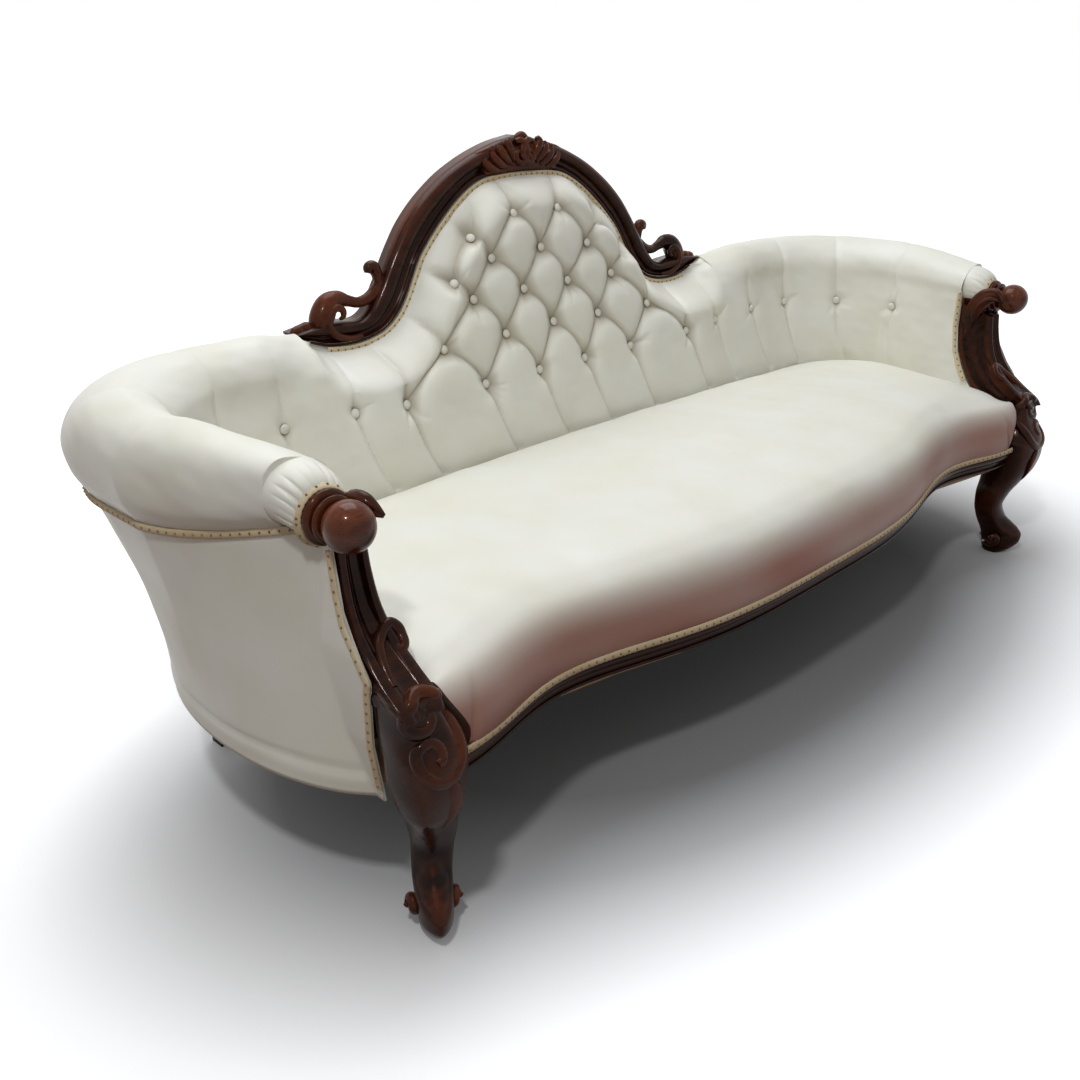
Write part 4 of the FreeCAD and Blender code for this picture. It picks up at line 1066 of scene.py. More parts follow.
@dataclass
class CoveredButtons:
    """Leather-covered buttons seated in their dimples."""

    upholstery: Upholstery
    inside: InsideLeather
    radius: float = 9.0
    rise: float = 5.5

    def seats(self) -> tuple:
        """Middle and outward direction of every button, read from the leather's own line.

        Returns:
            Arrays (n, 3) of places and of unit directions.
        """
        places, normals = [], []
        for s, h in self.upholstery.buttons:
            side = 1.0 if s > 0 else -1.0
            if abs(s) < self.inside.joint:
                near = np.array([[s, s + 4], [s, s]])
                tall = np.array([[h, h], [h + 4, h]])
                depth = self.inside.face_depth(near, tall)
                normal = np.array([(depth[0, 1] - depth[0, 0]) / 4, -1, (depth[1, 0] - depth[0, 0]) / 4])
                place = np.array([s, depth[0, 0], h])
            else:
                stations = Stations(np.array([abs(s)]))
                profile = wing_profile(stations)[0]
                outward = np.interp(h, profile[:50, 1], profile[:50, 0])
                place = stations.points(np.array([[outward]]), np.array([[h]]))[0, 0]
                normal = np.array([-stations.out[0, 0], -stations.out[0, 1], -0.12])
                place[0] *= side
                normal[0] *= side
            normal = normal / np.linalg.norm(normal)
            turn = np.arange(8) * np.pi / 4
            depth = self.upholstery.sink(s + 8 * np.cos(turn), h + 8 * np.sin(turn)).mean()
            places.append(place - normal * depth)
            normals.append(normal)
        return np.array(places), np.array(normals)

    def build(self, leather: Material) -> list:
        """Domes of revolution, wide at the foot and narrowing to the top, with a flat back.

        Args:
            leather: their finish.

        Returns:
            One piece for the back and one for each side.
        """
        places, normals = self.seats()
        share = np.array([0.0, 0.12, 0.3, 0.55, 0.8, 0.95, 1.0])
        radius = self.radius * np.array([0.8, 0.98, 1.0, 0.93, 0.68, 0.36, 0.12])
        height = 1.0 + self.rise * share
        turn = np.arange(20) * np.pi / 10
        groups = {"back_buttons": [], "right_side_buttons": [], "left_side_buttons": []}
        for (s, _), place, normal in zip(self.upholstery.buttons, places, normals):
            aside = np.cross([0, 0, 1.0], normal)
            aside /= np.linalg.norm(aside)
            up = np.cross(normal, aside)
            ring = (place + normal * height[:, None, None]
                    + aside * (radius[:, None] * np.cos(turn))[..., None]
                    + up * (radius[:, None] * np.sin(turn))[..., None])
            name = "back_buttons"
            if abs(s) > self.inside.joint:
                name = "right_side_buttons" if s > 0 else "left_side_buttons"
            groups[name].append(ring)
        return [dress(tubes(f"covered_{name}", rings), leather, Slot.LEATHER, name)
                for name, rings in groups.items()]


@dataclass
class FrontRail:
    """Moulded serpentine show-wood rail."""

    top: float = 271.0
    height: float = 38.0
    half: float = 859.7

    def build(self, wood: Material) -> Piece:
        """Profile of bead, hollow, fillet and rounded foot carried along the serpentine.

        Args:
            wood: its finish.

        Returns:
            The closed piece.
        """
        x = np.linspace(-self.half, self.half, 320)
        front = rail_line(x)
        profile = np.array([(40, 0), (18, 0), (13, 0.8), (9.5, 3), (8, 6), (8.5, 8), (11, 9), (13.5, 11.5),
                            (14.2, 15), (12.5, 18.5), (9.5, 21), (7.5, 22), (7, 23.5), (3.5, 24.2), (1, 26.5),
                            (0, 30), (0.8, 33.6), (3.2, 36.6), (7, 38), (40, 38)], dtype=float)
        fine = np.concatenate([profile[:1], spline(profile[1:-1], 60), profile[-1:]])
        rings = np.stack([np.broadcast_to(x[:, None], (len(x), len(fine))),
                          front[:, None] + fine[None, :, 0],
                          np.broadcast_to(self.top - self.height + fine[:, 1], (len(x), len(fine)))], axis=2)
        return dress(tube("moulded_front_rail", rings), wood, Slot.SHOW_WOOD, "front_rail")


@dataclass
class FrontLeg:
    """Cabriole leg turned out at 45 degrees, with scroll foot and carved knee."""

    side: Side
    middle: tuple = (899.0, 14.0)
    neck_middle: tuple = (920.0, 49.0)
    neck_half: tuple = (33.0, 59.0)
    blend_z: float = 285.0
    boldness: float = 1.15
    rows: list = field(default_factory=lambda: [
        (0, 26, -18, 18), (5, 36, -22, 21), (12, 46, -24, 23), (30, 60, -28, 25), (46, 62, -31, 25),
        (62, 53, -37, 27), (76, 38, -44, 28), (95, 18, -52, 29), (124, 7, -60, 31), (152, 17, -62, 35),
        (184, 40, -58, 38), (223, 67, -54, 47), (262, 76, -52, 54), (300, 73, -54, 56), (345, 56, -58, 52),
        (382, 38, -60, 44)])
    small_scroll: list = field(default_factory=lambda: [
        (904, 430, 4), (898, 425, 5.5), (889, 430, 6.5), (887, 443, 7), (896, 452, 7), (911, 447, 7),
        (926, 432, 6.6), (935, 415, 6), (939, 400, 4)])
    upper_scroll: list = field(default_factory=lambda: [
        (925, 362, 6), (920, 369, 7), (911, 366, 8), (909, 353, 8.5), (920, 344, 9), (936, 346, 9.5),
        (944, 360, 9.5), (939, 377, 10), (922, 387, 10), (904, 385, 9.5), (890, 374, 8.5), (883, 356, 6)])
    large_scroll: list = field(default_factory=lambda: [
        (884, 372, 6), (878, 350, 9), (877, 321, 10.8), (887, 294, 10.4), (910, 280, 9.8), (933, 286, 9.4),
        (945, 303, 9), (941, 322, 8.6), (926, 330, 8), (913, 322, 7.6), (914, 309, 7), (924, 306, 6)])
    leaf: list = field(default_factory=lambda: [
        (908, 276, 6), (905, 262, 11), (902, 246, 12), (902, 228, 10), (904, 210, 6), (907, 192, 1.5)])

    def place(self, forward: np.ndarray, aside: np.ndarray, z: np.ndarray) -> np.ndarray:
        """Point from distances forward along the leg's splay, aside and up, on the right-hand side.

        Args:
            forward: distance outwards from the middle.
            aside: distance across the splay.
            z: height.

        Returns:
            Points, one for each set of three.
        """
        turn = np.radians(60 - 15 * smooth_step(z, 40, 150))
        x = self.middle[0] + forward * np.cos(turn) + aside * np.sin(turn)
        y = self.middle[1] - forward * np.sin(turn) + aside * np.cos(turn)
        return np.stack(np.broadcast_arrays(x, y, z), axis=-1)

    def section(self, heights: np.ndarray, count: int = 112) -> np.ndarray:
        """Rings of the leg at some heights, on the right-hand side.

        Formula: a rounded diamond (|cos a / reach|^1.55 + |sin a / half|^1.55)^(-1/1.55) on the
        diagonal, blended above the rail into the oblong foot of the arm support.

        Args:
            heights: array of n heights.
            count: points in each ring.

        Returns:
            Array (n, count, 3).
        """
        sizes = np.array(self.rows, dtype=float)
        front, back, half = (table(heights, sizes[:, [0, k]].tolist()) for k in (1, 2, 3))
        angle = np.arange(count) * 2 * np.pi / count
        reach, power = (front - back) / 2, 1.55
        radius = (np.abs(np.cos(angle)[None, :] / reach[:, None]) ** power
                  + np.abs(np.sin(angle)[None, :] / half[:, None]) ** power) ** (-1 / power)
        ring = self.place((front + back)[:, None] / 2 + radius * np.cos(angle), radius * np.sin(angle),
                          heights[:, None] + 0 * radius)
        way = angle - np.pi / 4
        half_x, half_y = self.neck_half
        box = (np.abs(np.cos(way) / half_x) ** 6 + np.abs(np.sin(way) / half_y) ** 6) ** (-1 / 6)
        square = np.array(self.neck_middle) + box[:, None] * np.stack([np.cos(way), np.sin(way)], axis=1)
        share = smooth_step(heights, self.blend_z, KNEE_Z)[:, None, None]
        ring[..., :2] += (square[None] - ring[..., :2]) * share
        return ring

    def front_y(self, x: np.ndarray, z: np.ndarray) -> np.ndarray:
        """Depth of the front surface of leg and support at places of the front view.

        Args:
            x: places across.
            z: heights.

        Returns:
            Array of depths behind the toe line.
        """
        rings = self.section(np.minimum(z, KNEE_Z))
        depth = np.empty(len(x))
        for row, (ring, across) in enumerate(zip(rings, x)):
            ahead = ring[ring[:, 1] < ring[:, 1].mean()]
            order = np.argsort(ahead[:, 0])
            depth[row] = np.interp(across, ahead[order, 0], ahead[order, 1])
        slope = np.interp(z, [382, 406, 436, 474, 520, 562], [-9, 29, 66, 92, 106, 112])
        return np.where(z > KNEE_Z, slope, depth)

    def carved(self, rows: list, count: int, flat: float = 1.0, sink: float = 0.6) -> np.ndarray:
        """Tube of changing radius laid on the front surface along places (x, z, radius).

        Args:
            rows: places (x, z, radius).
            count: rings of the tube.
            flat: height of the section as a share of its radius.
            sink: share of the radius that lies below the surface.

        Returns:
            Array (count, 16, 3).
        """
        path = spline(np.array(rows, dtype=float), count)
        y = self.front_y(path[:, 0], path[:, 1]) + path[:, 2] * sink
        line = np.stack([path[:, 0], y, path[:, 1]], axis=1)
        return sweep(line, np.array([0.25, -1.0, 0.55]), circle(16) * [self.boldness, flat], path[:, 2])

    def volute(self, way: float) -> np.ndarray:
        """Small scroll at the side of the foot: a tapering tube wound in a spiral.

        Args:
            way: 1 or -1 for either side of the toe.

        Returns:
            Rings of the scroll.
        """
        turn = np.linspace(-0.9 * np.pi, 2.2 * np.pi, 64)
        radius = 15 * np.exp(-0.2 * (turn + 0.9 * np.pi))
        path = self.place(-6 + radius * np.cos(turn), way * (28 + 1.6 * turn), 41 + radius * np.sin(turn))
        size = 11.5 * np.exp(-0.09 * (turn + 0.9 * np.pi))
        aside = np.array([np.sqrt(0.75), 0.5, 0]) * way
        return sweep(path, aside, circle(14), size)

    def build(self, wood: Material) -> Piece:
        """Leg body, carved scrolls and leaf of the knee, and foot scrolls.

        Args:
            wood: its finish.

        Returns:
            The piece.
        """
        heights = np.concatenate([np.linspace(0, 16, 8), np.linspace(20, 384, 120)])
        rings = [self.section(heights), self.volute(1), self.volute(-1), self.carved(self.small_scroll, 70),
                 self.carved(self.upper_scroll, 110), self.carved(self.large_scroll, 120),
                 self.carved(self.leaf, 40, flat=0.5, sink=0.1)]
        for ring in rings:
            ring[..., 0] *= self.side.value
        piece = tubes(f"{self.side.word}_cabriole_leg", rings)
        return dress(piece, wood, Slot.SHOW_WOOD, f"{self.side.word}_front_leg")


@dataclass
class ArmSupport:
    """C-scrolled support from the knee up to the collar, with ball and carved leaf."""

    side: Side
    middle_x: float = 922.0
    axis: tuple = SCROLL_AXIS
    rows: list = field(default_factory=lambda: [
        (-22, 368, 106, 368), (-10, 382, 108, 382), (26, 406, 131, 402), (62, 436, 152, 434),
        (88, 474, 171, 472), (102, 520, 181, 530), (108, 562, 181, 582)])
    ear: list = field(default_factory=lambda: [
        (903, 165, 515, 6), (900, 160, 545, 15), (899, 150, 576, 20), (900, 134, 601, 20),
        (903, 113, 612, 16), (900, 96, 608, 11), (893, 82, 600, 3)])
    ridges: list = field(default_factory=lambda: [
        (890, 150, 540, 3), (885, 146, 568, 6), (884, 134, 592, 7), (889, 115, 604, 6), (891, 96, 603, 3)])

    def neck(self) -> np.ndarray:
        """Rings of the moulded neck: edge beads, a hollow between them and a plain back.

        Returns:
            Array of rings from the knee to the boss.
        """
        edges = spline(np.array(self.rows, dtype=float), 80)
        profile = np.array([(0.13, -0.93), (0.03, -0.80), (0.0, -0.62), (0.03, -0.47), (0.13, -0.36),
                            (0.20, -0.15), (0.21, 0.05), (0.17, 0.22), (0.10, 0.34), (0.12, 0.42),
                            (0.03, 0.55), (0.0, 0.7), (0.05, 0.86), (0.16, 0.97), (0.3, 0.93), (0.42, 0.9),
                            (0.55, 0.98), (0.8, 0.98), (1.0, 0.93), (1.0, 0.0), (1.0, -0.93), (0.8, -0.9),
                            (0.6, -0.96), (0.45, -0.86), (0.3, -0.88)])
        fine = spline(profile, 130, closed=True)
        cut = 0.25 + 0.75 * smooth_step(edges[:, 1], 400, 480)
        share = np.where(fine[None, :, 0] < 0.3, fine[None, :, 0] * cut[:, None], fine[None, :, 0])
        y = edges[:, None, 0] + (edges[:, 2] - edges[:, 0])[:, None] * share
        z = edges[:, None, 1] + (edges[:, 3] - edges[:, 1])[:, None] * share
        half = np.interp(z, [368, 382, 426, 464, 500, 557], [33, 35, 33, 29.5, 27, 24.5])
        x = self.middle_x + fine[None, :, 1] * half
        return np.stack([x, y, z], axis=2)

    def leaf(self, rows: list, across: float) -> np.ndarray:
        """Carved leaf: a flattened tube of changing size along places (x, y, z, radius).

        Args:
            rows: places (x, y, z, radius).
            across: width of the section as a share of its radius.

        Returns:
            Rings of the leaf.
        """
        path = spline(np.array(rows, dtype=float), 60)
        profile = circle(24, across, 1.0)
        profile[:, 0] *= 1 + 0.12 * np.cos(5 * np.arctan2(profile[:, 1], profile[:, 0]))
        return sweep(path[:, :3], np.array([0, 0.6, 0.8]), profile, path[:, 3])

    def turned(self, profile: list, count: int = 48) -> np.ndarray:
        """Rings turned about the scroll's axis from radii and depths.

        Args:
            profile: rows (radius, depth).
            count: points in each ring.

        Returns:
            Array of rings.
        """
        rows = spline(np.array(profile, dtype=float), 60)
        angle = np.arange(count) * 2 * np.pi / count
        x = self.axis[0] + rows[:, :1] * np.cos(angle)
        z = self.axis[1] + rows[:, :1] * np.sin(angle)
        return np.stack([x, np.broadcast_to(rows[:, 1:], x.shape), z], axis=2)

    def build(self, wood: Material, red_wood: Material) -> list:
        """Neck with boss and leaf, then collar, then egg-shaped ball.

        Args:
            wood: finish of support and collar.
            red_wood: finish of the ball, a lighter and redder copy of the wood that paints the light on it.

        Returns:
            Support, collar and ball.
        """
        word = self.side.word
        mirror = self.side.mirror
        boss = self.turned([(30, 134), (34, 138), (34, 184), (20, 184.5)])
        support = tubes(f"{word}_scrolled_support", [ring * mirror for ring in (
            self.neck(), boss, self.leaf(self.ear, 0.75), self.leaf(self.ridges, 0.8))])
        dress(support, wood, Slot.SHOW_WOOD, f"{word}_arm_support")
        collar = tube(f"{word}_turned_collar", mirror * self.turned(
            [(20, 111), (27, 111.5), (31.5, 114), (32, 117), (28.5, 120), (28.5, 122), (34, 124), (37, 127.5),
             (37, 131), (33.5, 134), (32, 136)]))
        dress(collar, wood, Slot.SHOW_WOOD, f"{word}_arm_collar")
        share = -np.cos(np.linspace(0.02, 2.5, 30))
        egg = np.stack([34 * np.sqrt(1 - share ** 2), 112 + (share - 0.8) * 33.5], axis=1)
        # Painted highlight: the ball takes a lighter, redder copy of the polished wood for the light that
        # falls on it.
        ball = tube(f"{word}_egg_ball", mirror * self.turned(egg.tolist()))
        dress(ball, red_wood, Slot.SHOW_WOOD, f"{word}_arm_ball")
        return [support, collar, ball]


@dataclass
class Crest:
    """Arched crest: two moulded rails with pierced scroll ends, and the carved middle."""

    line: CrestLine = field(default_factory=CrestLine)

    def point(self, x: np.ndarray, depth: np.ndarray, z: np.ndarray) -> np.ndarray:
        """Point behind the crest's raked face."""
        return np.stack(np.broadcast_arrays(x, self.line.face(z) + depth, z), axis=-1)

    def rail(self, side: Side) -> np.ndarray:
        """Section of inner bead, dark hollow and fat outer roll, carried from middle to tip.

        Args:
            side: right or left.

        Returns:
            Array of rings.
        """
        outer = spline(np.array(self.line.outer, dtype=float), 150)
        inner = spline(np.array(self.line.inner, dtype=float), 150)
        profile = np.array([(0.0, 20), (0.0, 9), (0.03, 4.5), (0.10, 3), (0.17, 5), (0.2, 8.5), (0.27, 11.5),
                            (0.36, 12.5), (0.44, 10), (0.48, 5), (0.58, -0.5), (0.72, -2.5), (0.86, 0),
                            (0.96, 6), (1.0, 14), (1.0, self.line.thickness), (0.0, self.line.thickness)])
        fine = np.concatenate([spline(profile[:-2], 70), profile[-2:]])
        x = inner[:, None, 0] + (outer - inner)[:, None, 0] * fine[None, :, 0]
        z = inner[:, None, 1] + (outer - inner)[:, None, 1] * fine[None, :, 0]
        return self.point(x * side.value, fine[None, :, 1], z)

    def laid(self, rows: list, depth: float, count: int) -> np.ndarray:
        """Tube of changing radius along places (x, z, radius) at a depth behind the face.

        Args:
            rows: places (x, z, radius).
            depth: how far behind the face the middle runs.
            count: number of rings.

        Returns:
            Array of rings.
        """
        fine = spline(np.array(rows, dtype=float), count)
        line = self.point(fine[:, 0], np.full(len(fine), depth), fine[:, 1])
        return sweep(line, np.array([0, 1.0, 0]), circle(20), fine[:, 2])

    def scroll(self, side: Side) -> list:
        """Pierced scroll end: bridge and elbow, hooked knob, curl of the inner bead and leafy tip.

        Args:
            side: right or left.

        Returns:
            Rings of the four tubes.
        """
        bridge = [(366, 735, 9), (384, 716, 12), (406, 703, 11), (430, 699, 10), (452, 705, 11),
                  (474, 711, 16), (496, 705, 21), (510, 688, 23), (518, 670, 21), (520, 651, 14)]
        knob = [(366, 714, 8), (377, 730, 9), (380, 746, 11), (387, 757, 13), (396, 757, 11), (399, 748, 7)]
        bead = [(440, 642, 4), (470, 642, 6), (495, 650, 7.5), (509, 668, 8), (506, 688, 8), (491, 700, 7.5),
                (477, 694, 6.5), (477, 683, 5), (485, 679, 3)]
        tip = [(536, 668, 5), (548, 671, 11), (560, 671, 9), (567, 668, 11), (577, 667, 8), (583, 663, 2)]
        rings = [self.laid(bridge, 20, 70), self.laid(knob, 20, 50), self.laid(bead, 3, 60),
                 self.laid(tip, 18, 60)]
        return [ring * side.mirror for ring in rings]

    def leaves(self) -> list:
        """Carved leaves and curls of the middle, as tubes of changing size over the low shell.

        Returns:
            Rings of every leaf and curl.
        """
        curl = [(10, 938, 3), (16, 943, 4), (23, 938, 5), (22, 927, 6), (12, 921, 6.5), (-1, 925, 7),
                (-7, 939, 7.5), (-2, 954, 8), (10, 963, 7), (24, 962, 4)]
        eye = [(6, 936, 3), (10, 933, 6), (14, 930, 3)]
        crown = [(-20, 960, 3), (-10, 967, 8), (2, 971, 9), (13, 966, 7), (22, 959, 3)]
        lobes = [[(28, 926, 4), (36, 942, 9), (44, 957, 10), (40, 968, 5)],
                 [(34, 920, 4), (50, 932, 9), (62, 946, 10), (62, 959, 4)],
                 [(46, 914, 4), (64, 922, 9), (80, 934, 9), (84, 949, 4)],
                 [(62, 908, 3), (82, 913, 8), (100, 923, 8), (108, 938, 3)],
                 [(28, 911, 3), (44, 912, 6), (60, 907, 5), (74, 904, 2)]]
        outer = [(60, 950, 3), (74, 950, 7), (90, 946, 7), (106, 943, 6), (122, 940, 2.5)]
        half = [self.laid(curl, -9, 60), self.laid(eye, -13, 12)]
        half += [self.laid(lobe, 2.2 * number - 7, 24) for number, lobe in enumerate(lobes)]
        half.append(self.laid(outer, 8, 24))
        both = [ring * side.mirror for side in (Side.LEFT, Side.RIGHT) for ring in half]
        return both + [self.laid(crown, 0, 24)]

    def carving(self) -> np.ndarray:
        """Ground of the carved middle: a low shell that swells forward in the middle.

        Returns:
            Array of rings.
        """
        share = np.linspace(-1, 1, 120)
        half = [(0, 972), (0.2, 961), (0.4, 962), (0.6, 950), (0.82, 952), (1, 946)]
        top = table(share, [(-place, height) for place, height in half[:0:-1]] + half)
        low = 904 - 6 * share ** 2
        proud = 12 * (1 - share ** 2)
        t = np.array([0, 0.06, 0.12, 0.2, 0.35, 0.5, 0.65, 0.8, 0.92, 1.0, 1.0, 0.0])
        depth = np.array([9, 3.5, 2, 4, 5, 3, 4, 5, 8, 14] + [self.line.thickness] * 2)
        z = low[:, None] + (top - low)[:, None] * t
        front = np.array([0.5, 0.7, 0.8, 0.9, 1, 1, 1, 0.9, 0.7, 0.5, 0, 0])
        x = (98 + 15 * t) * share[:, None]
        return self.point(x, depth - proud[:, None] * front, z)

    def build(self, wood: Material) -> list:
        """Two rails with their scrolls, and the carved middle.

        Args:
            wood: its finish.

        Returns:
            The three pieces.
        """
        pieces = []
        for side in Side:
            rail = tubes(f"{side.word}_crest_moulding", [self.rail(side)] + self.scroll(side))
            pieces.append(dress(rail, wood, Slot.SHOW_WOOD, f"{side.word}_crest_rail"))
        carving = tubes("crest_carved_middle", [self.carving()] + self.leaves())
        return pieces + [dress(carving, wood, Slot.SHOW_WOOD, "crest_carving")]


@dataclass(frozen=True)
class BraidRun:
    """One length of braid: its line and the outward direction at each point."""

    line: np.ndarray
    out: np.ndarray


@dataclass
class Braid:
    """Yellowish scalloped braid that covers the edges of the leather, with its small brown nails."""

    inside: InsideLeather
    outside: OutsideLeather
    half_width: float = 5.5
    thick: float = 2.2
    scallop: float = 9.0
    step: float = 2.2
    nail_gap: float = 17.0
    nail_radius: float = 1.9
    roll_end_s: float = 1356.0
    ring_radius: float = 38.5
    ring_y: float = 139.0

    def run(self, line: np.ndarray, out: np.ndarray) -> BraidRun:
        """Samples a line evenly at the braid's own step.

        Args:
            line: array (n, 3).
            out: directions, spread evenly along the line.

        Returns:
            The sampled run.
        """
        fine, length = even(spline(line, 400)[None], 400)
        count = max(int(length[0, -1] / self.step), 8)
        place = np.linspace(0, length[0, -1], count)
        points = np.stack([np.interp(place, length[0], axis) for axis in fine[0].T], axis=1)
        share = np.linspace(0, 1, len(out))
        outs = np.stack([np.interp(place / place[-1], share, axis) for axis in out.T], axis=1)
        return BraidRun(points, outs / np.linalg.norm(outs, axis=1, keepdims=True))

    def under_roll(self) -> BraidRun:
        """Along the top edge of the outside leather, from arm to arm round the back.

        Returns:
            The run.
        """
        s = np.linspace(0, self.roll_end_s, 160)
        stations = Stations(s)
        outward = stations.roll - stations.braid_inset + 1.5
        right = stations.points(outward[:, None], stations.braid[:, None] - 5)[:, 0]
        out = np.concatenate([stations.out, np.zeros((len(s), 1))], axis=1)
        mirror = Side.LEFT.mirror
        return self.run(np.concatenate([(right * mirror)[:0:-1], right]),
                        np.concatenate([(out * mirror)[:0:-1], out]))

    def beside_support(self, side: Side) -> list:
        """Down both sides of the arm support: the outside panel's edge and the arm pad's edge.

        Args:
            side: right or left.

        Returns:
            The outer and the inner run.
        """
        z = np.linspace(226, 560, 60)
        stations = Stations(np.full(1, self.outside.front_s))
        share = (z - self.outside.bottom) / (stations.braid[0] - self.outside.bottom)
        top_out = stations.roll[0] - stations.braid_inset
        hollow = 6 + 0.15 * abs(top_out - stations.foot[0])
        outward = stations.foot[0] + (top_out - stations.foot[0]) * share - hollow * 4 * share * (1 - share)
        x = stations.inner[0, 0] + outward
        x = self.outside.beside(x, self.outside.front_edge(z), z)
        outer = np.stack([x + 1.0, self.outside.front_edge(z) + 4, z], axis=1)
        tall = np.linspace(408, 606, 40)
        depth = support_back(np.minimum(tall, 582)) + 3
        share = np.clip((tall - stations.low_z) / (stations.turn_z - stations.low_z), 0, 1)
        bulge = (12 - self.inside.front_tuck) * 4 * share * (1 - share)
        puffed = stations.arm_front - stations.arm_rake + 3.2 * share - bulge
        drawn_in = (depth - stations.front_y) * stations.arm_slope
        inner = np.stack([puffed - 2 + drawn_in, depth + 3, tall], axis=1)
        return [self.run(outer * side.mirror, np.tile([side.value, -0.25, 0.0], (2, 1))),
                self.run(inner * side.mirror, np.tile([-side.value, -0.5, 0.0], (2, 1)))]

    def round_collar(self, side: Side) -> BraidRun:
        """Ring where the pleated fan meets the turned collar.

        Args:
            side: right or left.

        Returns:
            The run.
        """
        turn = np.linspace(0, 2 * np.pi, 60)
        ring = np.stack([SCROLL_AXIS[0] + self.ring_radius * np.cos(turn), np.full(60, self.ring_y),
                         SCROLL_AXIS[1] + self.ring_radius * np.sin(turn)], axis=1)
        out = np.stack([np.cos(turn), np.full(60, -0.6), np.sin(turn)], axis=1)
        return self.run(ring * side.mirror, out * side.mirror)

    def along_crest(self) -> BraidRun:
        """Inside the crest's inner edge, from tip to tip.

        Returns:
            The run.
        """
        line = self.inside.crest
        edge = spline(np.array(line.inner, dtype=float)[:-2], 120)
        way = np.gradient(edge, axis=0)
        inwards = np.stack([way[:, 1], -way[:, 0]], axis=1) / np.linalg.norm(way, axis=1, keepdims=True)
        edge = edge + inwards * 6
        right = np.stack([edge[:, 0], line.face(edge[:, 1]) + 2, edge[:, 1]], axis=1)
        both = np.concatenate([(right * Side.LEFT.mirror)[:0:-1], right])
        return self.run(both, np.tile([0.0, -1.0, 0.0], (2, 1)))

    def on_rail(self) -> BraidRun:
        """Along the top of the front rail.

        Returns:
            The run.
        """
        x = np.linspace(-852, 852, 160)
        line = np.stack([x, rail_line(x) - 2.0, np.full(160, 277.5)], axis=1)
        return self.run(line, np.tile([0.0, -1.0, 0.1], (2, 1)))

    def runs(self) -> list:
        """Every length of braid with the name of its piece.

        Returns:
            Pairs of a name and a list of runs.
        """
        named = [("braid_under_roll", [self.under_roll()]), ("braid_along_crest", [self.along_crest()]),
                 ("braid_on_rail", [self.on_rail()])]
        for side in Side:
            named.append((f"{side.word}_support_braid", self.beside_support(side)))
            named.append((f"{side.word}_collar_braid", [self.round_collar(side)]))
        return named

    def band(self, run: BraidRun) -> np.ndarray:
        """Low oval section, its width 1 + 0.14 |sin(pi l / scallop)| of the plain one at length l.

        Args:
            run: where it goes.

        Returns:
            Array of rings.
        """
        aside, over, length = frames_along(run.line, run.out)
        width = 1 + 0.14 * np.abs(np.sin(np.pi * length / self.scallop))
        section = circle(10, self.half_width, self.thick)
        section[:, 1] = np.maximum(section[:, 1], -0.4 * self.thick)
        return (run.line[:, None] + aside[:, None] * section[None, :, :1] * width[:, None, None]
                + over[:, None] * section[None, :, 1:])

    def nails(self, run: BraidRun) -> list:
        """Small domed heads in the middle of the band.

        Args:
            run: the braid that they hold.

        Returns:
            Rings of each nail.
        """
        aside, over, length = frames_along(run.line, run.out)
        every = max(int(self.nail_gap / self.step), 1)
        turn = np.arange(8) * np.pi / 4
        radius, height = self.nail_radius * np.array([1.0, 0.95, 0.45]), np.array([1.4, 2.5, 3.5])
        heads = []
        for at in range(every // 2, len(length), every):
            heads.append(run.line[at] + over[at] * height[:, None, None]
                         + aside[at] * (radius[:, None] * np.cos(turn))[..., None]
                         + np.cross(aside[at], over[at]) * (radius[:, None] * np.sin(turn))[..., None])
        return heads

    def build(self, cotton: Material, steel: Material) -> list:
        """Bands run by run, then all the nails in one piece.

        Args:
            cotton: finish of the braid.
            steel: finish of the nails.

        Returns:
            Every piece.
        """
        pieces, heads = [], []
        for name, runs in self.runs():
            pieces.append(dress(tubes(name, [self.band(run) for run in runs]), cotton, Slot.CANVAS))
            heads += [head for run in runs for head in self.nails(run)]
        return pieces + [dress(tubes("braid_nails", heads), steel, Slot.SPRING_STEEL)]


def put(tree: Tree, kind: str, values: dict | None = None, **settings) -> bpy.types.Node:
    """Adds a node to a tree.

    Args:
        tree: tree of a material or a group.
        kind: node type.
        values: input to a constant, or to the socket that feeds it.
        settings: other properties of the node.

    Returns:
        The new node.
    """
    node = tree.nodes.new(kind)
    for key, value in settings.items():
        setattr(node, key, value)
    for key, value in (values or {}).items():
        if isinstance(value, Socket):
            tree.links.new(value, node.inputs[key])
        else:
            node.inputs[key].default_value = value
    return node


def mixed(tree: Tree, share: Socket, low: object, high: object) -> Socket:
    """Colour between low and high by share; either is four numbers or a socket."""
    return put(tree, "ShaderNodeMix", {0: share, 6: low, 7: high}, data_type="RGBA").outputs[2]


def ranged(tree: Tree, value: Socket, *ends: float) -> Socket:
    """Value carried from the first two numbers to the last two, held at the ends."""
    return put(tree, "ShaderNodeMapRange", {0: value, **dict(enumerate(ends, 1))}).outputs[0]


def new_group(name: str, inputs: tuple, outputs: tuple) -> tuple:
    """Empty node group.

    Args:
        name: name of the group.
        inputs: names of its number inputs, after Vector.
        outputs: names of its number outputs.

    Returns:
        The tree, its input node and its output node.
    """
    tree = bpy.data.node_groups.new(name, "ShaderNodeTree")
    tree.interface.new_socket("Vector", in_out="INPUT", socket_type="NodeSocketVector")
    for entry in inputs:
        tree.interface.new_socket(entry, in_out="INPUT", socket_type="NodeSocketFloat")
    for output in outputs:
        tree.interface.new_socket(output, in_out="OUTPUT", socket_type="NodeSocketFloat")
    return tree, tree.nodes.new("NodeGroupInput"), tree.nodes.new("NodeGroupOutput")


